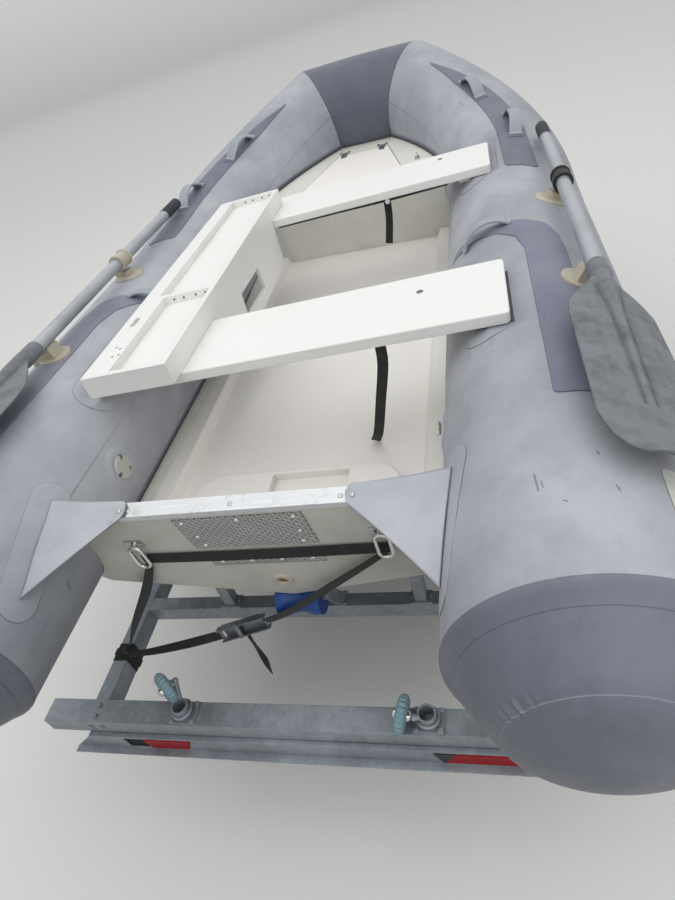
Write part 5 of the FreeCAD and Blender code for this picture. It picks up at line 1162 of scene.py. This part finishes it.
def make_blades():
    """Oar blades: half width and spine follow curves of the distance from the neck.

    A cross-section is a cupped plate, 7 mm deep, thinner at its edges, with a round
    spine down the middle and a thin stiffening bead near each edge.
    """
    s = np.concatenate([np.linspace(0, 0.44, 56), np.linspace(0.447, 0.4985, 14), [BLADE_L]])[:, None]
    t = np.sin(np.linspace(-0.5, 0.5, 61) * np.pi)[None, :]
    curve, rows = rounded(BLADE_HALF, 8), np.array(SPINE_ROWS)
    tall, wide = np.interp(s, rows[:, 0], rows[:, 1]), np.interp(s, rows[:, 0], rows[:, 2])
    y = np.interp(s, curve[:, 0], curve[:, 1]) * t
    spine = tall * np.exp(-(y / wide) ** 2 * 1.3)
    bead = BEAD * np.exp(-((np.abs(y) - BEAD_AT) / 0.003) ** 2)
    bead = bead * smooth(0.10, 0.15, s) * (1 - smooth(0.37, 0.42, s))
    cup = -CUP * t ** 2 * smooth(0.02, 0.16, s) + 0.0015 * np.sin(11 * s + 2 * t)
    thick = BLADE_T * (1 - 0.55 * np.abs(t) ** 3)
    # A dark line either side of the spine is painted shade along the ridge.
    grime = 0.75 * np.exp(-((np.abs(y) - wide * 1.15) / 0.0035) ** 2) * (tall > 0.002) * smooth(0.02, 0.06, s)
    for side, word in SIDES:
        a = math.radians(OAR_ANGLES[word])
        normal = np.array([0, -math.cos(a) * side, math.sin(a)])
        neck = np.array([BLADE_X, side * TUBE_Y, 0]) + normal * (TUBE_R + OAR_STANDOFF)
        across = np.cross((1.0, 0, 0), normal)
        flat = neck + SHIFT - s[..., None] * np.array([1.0, 0, 0]) + y[..., None] * across
        top = flat + normal * (cup + thick + spine + bead)[..., None]
        bottom = flat + normal * (cup - thick - spine * 0.92)[..., None]
        body = "oar_" + word
        slab("oar_blade_moulded_" + word, top, bottom, "blade", body=body, grime=grime,
             stands_for=["oar_blade_" + word])
        clamp = lathe(neck + (ROWLOCK_X - BLADE_X, 0, 0), (1, 0, 0), CLAMP_ROWS, 48)
        faces = grid_faces(*clamp.shape[:2], wrap=True)
        new_object("oar_clamp_" + word, clamp, faces, CLAMP_LOOK[word], body=body)
        shell("oar_blade_neck_" + word, lathe(neck, (-1, 0, 0), NECK_ROWS, 40), "blade", body=body)


# Wheels, rollers, bolts and lamps


TYRE_ROWS = ((-0.045, 0.1276), (-0.0475, 0.139), (-0.060, 0.153), (-0.0705, 0.176), (-0.0720, 0.200),
             (-0.0670, 0.223), (-0.0585, 0.2365), (-0.052, 0.2408))
TYRE_SEAT = ((0.020, 0.1276), (-0.020, 0.1276), (-0.045, 0.1276))
TREAD_BLOCKS, TREAD_DEPTH, CROWN_R = 54, 0.0062, 0.236
GROOVES = ((0.0085, 0.0105, 0.0145, 0.0165), (0.0295, 0.0315, 0.0345, 0.0365))     # both edges of each wall
SHOULDER_CUT, SIPE_CUT, SIPE_DEPTH = 0.26, 0.17, 0.6      # shares of a block's length, and of the depth
ROLLER_ROWS = ((-0.017, 0.010), (-0.017, 0.030), (-0.0165, 0.0325), (-0.010, 0.0400), (-0.004, 0.0417),
               (0.004, 0.0417), (0.010, 0.0400), (0.0165, 0.0325), (0.017, 0.030), (0.017, 0.010))
HUB_ROWS = ((-0.0195, 0.009), (-0.0165, 0.0115), (0.0165, 0.0115), (0.0195, 0.009))
ROLLER_SHARE = 0.74       # the wheels are narrower than their forks
SIDE_ROLLERS = (          # centre, and direction of the axle
    ("port", (-0.097, 0.342, -0.4117), (-0.80, 0.59, 0.10)),
    ("starboard", (-0.141, -0.248, -0.4197), (0.15, 0.96, 0.20)),
)
BEAM_MID, CROSS_X, BUNK_X = (BEAM_X0 + BEAM_X1) / 2, 0.190, 1.150
BUNK_Y, POST_Y, KEEL_Y, PLATE_TOP = 0.270, 0.300, 0.063, BEAM_TOP + 0.0062
LAMP_X, LAMP_Z = BEAM_X0 - 0.012, ((BEAM_TOP - 0.0612,), (BEAM_TOP - 0.1022,))
LAMP_PLATES = (           # how far proud, and the corners' distances from the centre line: top, then bottom
    ("lamp_lens_outer", "lens", 0.0020, ((0.4360, 0.4905), (0.4220, 0.4850))),
    # A black plate that stands for the shade in the lamp's inner corner.
    ("lamp_corner_shade", "black", 0.0026, ((0.3020, 0.3500), (0.3200, 0.3230))),
)


def tread(a, r, phi):
    """Tread: four grooves round the tyre, cross grooves in the shoulders and sipes in the middle ribs."""
    a = np.abs(a)
    turn = phi * TREAD_BLOCKS / (2 * np.pi)
    groove = np.max([smooth(*g[:2], a) * (1 - smooth(*g[2:], a)) for g in GROOVES], 0)
    shoulder = smooth(*GROOVES[1][2:], a) * (((turn + 14 * a) % 1) < SHOULDER_CUT)
    sipe = (a < GROOVES[1][0]) * (((turn + 30 * a + 0.5) % 1) < SIPE_CUT) * SIPE_DEPTH
    return -TREAD_DEPTH * (r > CROWN_R) * np.maximum(np.maximum(groove, shoulder), sipe)


def make_tyres():
    """Road tyres: a rounded section turned about the axle, cut by the tread; and the wheels' nuts."""
    flank = rounded(TYRE_ROWS, 4)
    crown = np.linspace(-0.050, 0.050, 52)
    profile = np.concatenate([flank, stack(crown, WHEEL_R - crown ** 2), flank[::-1] * (-1, 1), TYRE_SEAT])
    ring = around(np.radians([45, 135, 225, 315]), np.array([0.050, 0, 0]), np.array([0, 0, 0.050]))
    for side, word in SIDES:
        body, hub = "wheel_" + word, np.array([WHEEL_X, side * WHEEL_Y, FLOOR + WHEEL_R])
        grid = lathe(hub, (0, 1, 0), profile, 324, tread)
        new_object("tyre_rubber_" + word, grid, grid_faces(*grid.shape[:2], wrap=True), "tyre", body=body,
                   stands_for=["tyre_" + word])
        heads("wheel_nuts_" + word, "wheel_nut", hub + ring + (0, side * 0.025, 0), (0, side, 0), body=body)


def make_side_rollers():
    """Side rollers: narrow wheels with 20 ribs across their tread."""
    ribs = lambda a, r, phi: -0.0028 * (r > 0.031) * smooth(-0.2, 0.5, np.cos(20 * phi))
    rows = rounded(ROLLER_ROWS, 3) * (ROLLER_SHARE, 1)
    for word, centre, axis in SIDE_ROLLERS:
        shell("side_roller_" + word, lathe(centre, axis, rows, 160, ribs), "roller",
              stands_for=["side_rollers"] if word == "port" else ())
        shell("side_roller_hub_" + word, lathe(centre, axis, HUB_ROWS, 24), "stainless")


def make_frame_bolts():
    """Hexagon bolts on the trailer's joints and roller plates."""
    top, aft = [], []
    for side, _ in SIDES:
        top += [(BEAM_MID + a, side * RAIL_Y, BEAM_TOP) for a in (-0.014, 0.014)]
        aft += [(BEAM_X0, side * (RAIL_Y + a), BEAM_TOP - 0.024) for a in (-0.016, 0.016)]
        top += [(x, side * (BUNK_Y + a), PLATE_TOP) for x in (CROSS_X, BUNK_X) for a in (-0.022, 0.022)]
        top += [(BEAM_MID + a, side * POST_Y + b, PLATE_TOP) for a in (-0.022, 0.022) for b in (-0.027, 0.027)]
        top += [(x, side * KEEL_Y, BEAM_TOP + 0.006) for x in (CROSS_X - 0.017, CROSS_X + 0.017, BUNK_X)]
    heads("frame_bolts_top", "frame_bolt", top, (0, 0, 1))
    heads("frame_bolts_aft", "frame_bolt", aft, (-1, 0, 0))


def make_lamp_plates():
    """The starboard lamp's outer lens, and a black plate of painted shade in its inner corner: flat plates in
    front of its housing.
    """
    for name, material, proud, across in LAMP_PLATES:
        y, z = -np.linspace(*np.transpose(across), 6).T, np.array(LAMP_Z)
        faces = [stack(x, y, z) + SHIFT for x in (LAMP_X - proud, LAMP_X + 0.0025)]
        slab(name, *faces, material, slot="lamp_red")


# Add-on


class BoatLookSettings(bpy.types.PropertyGroup):
    """Settings of the backdrop, the light and the camera"""
    floor_colour: bpy.props.FloatVectorProperty(
        name="Floor colour", description="Colour of the floor and backdrop as the camera sees them",
        subtype="COLOR", size=3, default=linear("#E2E2E0")[:3], min=0, max=1)
    sky_strength: bpy.props.FloatProperty(
        name="Sky strength", description="Strength of the even light from all round", default=0.82, min=0)
    lamp_power: bpy.props.FloatProperty(
        name="Lamp power", description="Power of the large lamp overhead", default=100.0, min=0, unit="POWER")
    camera_lens: bpy.props.FloatProperty(
        name="Lens", description="Focal length on a 36 mm tall frame", default=23.915,
        subtype="DISTANCE_CAMERA")


class BOAT_OT_materials(bpy.types.Operator):
    """Make the materials and give each CAD node its own"""
    bl_idname = "boat.materials"
    bl_label = "Materials"

    def execute(self, context):
        make_materials()
        for look, nodes in LOOK_NODES.items():
            for node in nodes.split():
                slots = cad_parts[node].data.materials
                slots.clear()
                slots.append(MATERIALS[look])
        return {"FINISHED"}


class BOAT_OT_air_tubes(bpy.types.Operator):
    """Make the side tubes, the bow panel and the stern caps"""
    bl_idname = "boat.air_tubes"
    bl_label = "Air tubes"

    def execute(self, context):
        for side, word in SIDES:
            make_side_tube(side, word)
        make_bow_tube()
        make_stern_caps()
        return {"FINISHED"}


class BOAT_OT_glued_fabric(bpy.types.Operator):
    """Make the doublings, gussets and handles on the tubes"""
    bl_idname = "boat.glued_fabric"
    bl_label = "Doublings, gussets and handles"

    def execute(self, context):
        make_doublings()
        make_gussets()
        make_handles()
        return {"FINISHED"}


class BOAT_OT_fittings(bpy.types.Operator):
    """Make the valves, gaskets, tread plates, tray liners and screws"""
    bl_idname = "boat.fittings"
    bl_label = "Fittings"

    def execute(self, context):
        make_valves()
        make_gaskets()
        make_transom_fittings()
        make_seat_fittings()
        return {"FINISHED"}


class BOAT_OT_straps(bpy.types.Operator):
    """Make the webbing straps"""
    bl_idname = "boat.straps"
    bl_label = "Straps"

    def execute(self, context):
        make_straps()
        return {"FINISHED"}


class BOAT_OT_oar_blades(bpy.types.Operator):
    """Make the two oar blades"""
    bl_idname = "boat.oar_blades"
    bl_label = "Oar blades"

    def execute(self, context):
        make_blades()
        return {"FINISHED"}


class BOAT_OT_running_gear(bpy.types.Operator):
    """Make the tyres, side rollers, trailer bolts, and a lamp's outer lens and black plate of painted shade"""
    bl_idname = "boat.running_gear"
    bl_label = "Tyres, rollers and bolts"

    def execute(self, context):
        make_tyres()
        make_side_rollers()
        make_frame_bolts()
        make_lamp_plates()
        return {"FINISHED"}


CAMERA_PLACE = (-2.38319, -0.51838, 1.75602)
CAMERA_YAW, CAMERA_PITCH, CAMERA_ROLL = 0.354510, 0.668294, 0.319839
LAMPS = (                 # name, place, size, share of the lamp power
    ("overhead", (-0.4, 0.5, 5.8), 8.0, 1.0),
    ("fill", (-4.4, -2.4, 2.8), 4.0, 0.36),
)
LAMP_AIM = (0.0, 0.0, 0.6)
FLOOR_R, BEND_R, WALL_TOP = 26.0, 8.0, 12.0       # flat floor, bend up into the wall, height of the wall's top
FLOOR_BOUNCE = "#6A6A66"  # what the light sees of the floor, so that little of it comes back up
WALL_GLOW, GLOW_TOP, SKY_SEEN = 0.36, 7.0, 0.70


def make_floor(colour):
    """Floor and backdrop: a disc that curves up into a wall, a profile of radius and height turned once.

    The wall glows a little for the camera only, so that it is as pale as the floor.
    """
    bend = around(np.radians(np.linspace(-90, 0, 13)), np.array([BEND_R, 0]), np.array([0, BEND_R]))
    rows = [[(0.001, 0), (6, 0), (16, 0)], bend + (FLOOR_R, BEND_R), [(FLOOR_R + BEND_R, WALL_TOP)]]
    r, z = np.concatenate(rows).T[..., None]
    grid = stack(r * np.cos(RING), r * np.sin(RING), z)
    m, t, shader, place = begin("studio_floor", FLOOR_BOUNCE, 0.95, Specular_IOR_Level=0.1)
    seen = 0.0
    for kind in ("Camera", "Glossy", "Transmission"):
        seen = add(t, "Math", {0: seen, 1: add(t, "LightPath", out="Is %s Ray" % kind)}, operation="MAXIMUM")
    pale = add(t, "Mix", {0: seen, 6: FLOOR_BOUNCE, 7: (*colour, 1.0)}, data_type="RGBA")
    height = add(t, "MapRange", {"Value": add(t, "SeparateXYZ", {0: place}, out="Z")}, From_Min=0.0,
                 From_Max=GLOW_TOP, To_Min=0.0, To_Max=WALL_GLOW)
    shader.inputs["Emission Color"].default_value = linear(WHITE)
    glow = add(t, "Math", {0: height, 1: seen}, operation="MULTIPLY")
    finish(t, shader, Base_Color=pale, Emission_Strength=glow)
    mesh = bpy.data.meshes.new("studio_floor")
    mesh.from_pydata(grid.reshape(-1, 3).tolist(), [], grid_faces(*grid.shape[:2], wrap=True).tolist())
    mesh.materials.append(m)
    mesh.polygons.foreach_set("use_smooth", np.ones(len(mesh.polygons), bool))
    obj = bpy.data.objects.new("studio_floor", mesh)
    bpy.context.scene.collection.objects.link(obj)


class BOAT_OT_stage(bpy.types.Operator):
    """Make the floor, the studio light and the camera"""
    bl_idname = "boat.stage"
    bl_label = "Stage"

    def execute(self, context):
        scene = context.scene
        settings = scene.boat_look
        make_floor(settings.floor_colour)
        world = bpy.data.worlds.new("studio")
        world.use_nodes = True
        tree = world.node_tree
        sky = tree.nodes["Background"]
        sky.inputs[0].default_value = linear(WHITE)
        seen = add(tree, "LightPath", out="Is Camera Ray")
        strength = add(tree, "MapRange", {"Value": seen}, To_Min=settings.sky_strength, To_Max=SKY_SEEN)
        tree.links.new(strength, sky.inputs[1])
        scene.world = world
        for name, place, size, share in LAMPS:
            lamp = bpy.data.lights.new(name, "AREA")
            lamp.shape = "DISK"
            lamp.size = size
            lamp.energy = settings.lamp_power * share
            obj = bpy.data.objects.new(name, lamp)
            obj.location = place
            obj.rotation_euler = (Vector(LAMP_AIM) - Vector(place)).to_track_quat("-Z", "Y").to_euler()
            scene.collection.objects.link(obj)
        scene.view_settings.view_transform = "Standard"
        camera = bpy.data.cameras.new("camera")
        camera.sensor_width = 36.0
        camera.lens = settings.camera_lens
        obj = bpy.data.objects.new("camera", camera)
        cos_p, sin_p = math.cos(CAMERA_PITCH), math.sin(CAMERA_PITCH)
        look = Vector((math.cos(CAMERA_YAW) * cos_p, math.sin(CAMERA_YAW) * cos_p, -sin_p))
        level = Vector((math.sin(CAMERA_YAW), -math.cos(CAMERA_YAW), 0))
        below = look.cross(level)
        cos_r, sin_r = math.cos(CAMERA_ROLL), math.sin(CAMERA_ROLL)
        right, down = level * cos_r + below * sin_r, below * cos_r - level * sin_r
        turn = Matrix((right, -down, -look)).transposed().to_4x4()
        obj.matrix_world = Matrix.Translation(CAMERA_PLACE) @ turn
        scene.collection.objects.link(obj)
        scene.camera = obj
        return {"FINISHED"}


class BOAT_PT_panel(bpy.types.Panel):
    """Lists the makers of the boat's looks"""
    bl_idname = "BOAT_PT_panel"
    bl_label = "Boat"
    bl_space_type = "VIEW_3D"
    bl_region_type = "UI"
    bl_category = "Boat"

    def draw(self, context):
        for name in ("floor_colour", "sky_strength", "lamp_power", "camera_lens"):
            self.layout.prop(context.scene.boat_look, name)
        for operator in OPERATORS:
            self.layout.operator(operator.bl_idname)


OPERATORS = (BOAT_OT_materials, BOAT_OT_air_tubes, BOAT_OT_glued_fabric, BOAT_OT_fittings, BOAT_OT_straps,
             BOAT_OT_oar_blades, BOAT_OT_running_gear, BOAT_OT_stage)


def register():
    for cls in (BoatLookSettings, *OPERATORS, BOAT_PT_panel):
        bpy.utils.register_class(cls)
    bpy.types.Scene.boat_look = bpy.props.PointerProperty(type=BoatLookSettings)


def unregister():
    del bpy.types.Scene.boat_look
    for cls in reversed((BoatLookSettings, *OPERATORS, BOAT_PT_panel)):
        bpy.utils.unregister_class(cls)


def main():
    register()
    bpy.ops.boat.materials()
    bpy.ops.boat.air_tubes()
    bpy.ops.boat.glued_fabric()
    bpy.ops.boat.fittings()
    bpy.ops.boat.straps()
    bpy.ops.boat.oar_blades()
    bpy.ops.boat.running_gear()
    bpy.ops.boat.stage()


if __name__ == "__main__":
    main()
